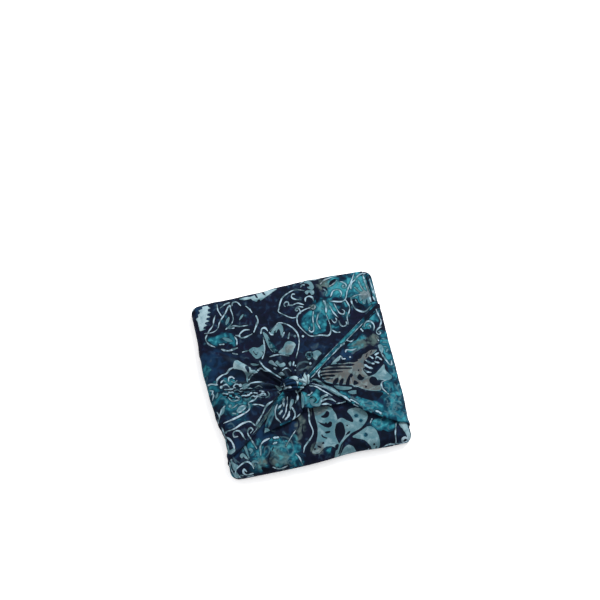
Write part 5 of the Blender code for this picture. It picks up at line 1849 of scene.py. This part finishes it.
class FUROSHIKI_OT_top_flap(bpy.types.Operator):
    """Builds the smooth flap that comes down from the back edge"""

    bl_idname = "furoshiki.top_flap"
    bl_label = "Top flap"

    def execute(self, context):
        build_flap("top", **FLAPS["top"])
        return {"FINISHED"}


class FUROSHIKI_OT_left_flap(bpy.types.Operator):
    """Builds the left flap, with its hem, its pleats and the deep pocket beside the knot"""

    bl_idname = "furoshiki.left_flap"
    bl_label = "Left flap"

    def execute(self, context):
        build_flap("left", **FLAPS["left"], hollow=POCKET, dress=left_hem)
        return {"FINISHED"}


class FUROSHIKI_OT_right_flap(bpy.types.Operator):
    """Builds the right flap, with a hem on both of its edges"""

    bl_idname = "furoshiki.right_flap"
    bl_label = "Right flap"

    def execute(self, context):
        build_flap("right", **FLAPS["right"], dress=right_hems)
        return {"FINISHED"}


class FUROSHIKI_OT_knot(bpy.types.Operator):
    """Builds the square knot's three lobes"""

    bl_idname = "furoshiki.knot"
    bl_label = "Knot"

    def execute(self, context):
        for name, (layer, flat) in LOBE_CLOTH.items():
            build_lobe(name, layer)
        return {"FINISHED"}


class FUROSHIKI_OT_tails(bpy.types.Operator):
    """Builds the two free ends"""

    bl_idname = "furoshiki.tails"
    bl_label = "Free ends"

    def execute(self, context):
        for name, facts in TAILS.items():
            build_tail(name, **facts)
        return {"FINISHED"}


class FUROSHIKI_OT_stage(bpy.types.Operator):
    """Builds the plain floor, the soft lights and the camera"""

    bl_idname = "furoshiki.stage"
    bl_label = "Stage"

    def execute(self, context):
        lay_floor(context.scene.furoshiki_stage)
        light_studio(context.scene, context.scene.furoshiki_stage)
        place_camera(context.scene, context.scene.furoshiki_stage)
        return {"FINISHED"}


class FUROSHIKI_PT_panel(bpy.types.Panel):
    """Lists the pieces in the order in which they are built"""

    bl_idname = "FUROSHIKI_PT_panel"
    bl_label = "Furoshiki wrap"
    bl_space_type = "VIEW_3D"
    bl_region_type = "UI"
    bl_category = "Furoshiki"

    def draw(self, context):
        for settings in (context.scene.furoshiki_cloth, context.scene.furoshiki_stage):
            box = self.layout.box()
            for name in settings.__annotations__:
                box.prop(settings, name)
        for maker in PIECES:
            self.layout.operator(maker.bl_idname)


PIECES = (
    FUROSHIKI_OT_parcel,
    FUROSHIKI_OT_bottom_flap,
    FUROSHIKI_OT_top_flap,
    FUROSHIKI_OT_left_flap,
    FUROSHIKI_OT_right_flap,
    FUROSHIKI_OT_knot,
    FUROSHIKI_OT_tails,
    FUROSHIKI_OT_stage,
)
CLASSES = (ClothSettings, StageSettings, *PIECES, FUROSHIKI_PT_panel)


def register():
    for made in CLASSES:
        bpy.utils.register_class(made)
    bpy.types.Scene.furoshiki_cloth = bpy.props.PointerProperty(type=ClothSettings)
    bpy.types.Scene.furoshiki_stage = bpy.props.PointerProperty(type=StageSettings)


def unregister():
    del bpy.types.Scene.furoshiki_cloth
    del bpy.types.Scene.furoshiki_stage
    for made in reversed(CLASSES):
        bpy.utils.unregister_class(made)


def main():
    register()
    for maker in PIECES:
        group, name = maker.bl_idname.split(".")
        getattr(getattr(bpy.ops, group), name)()


if __name__ == "__main__":
    main()
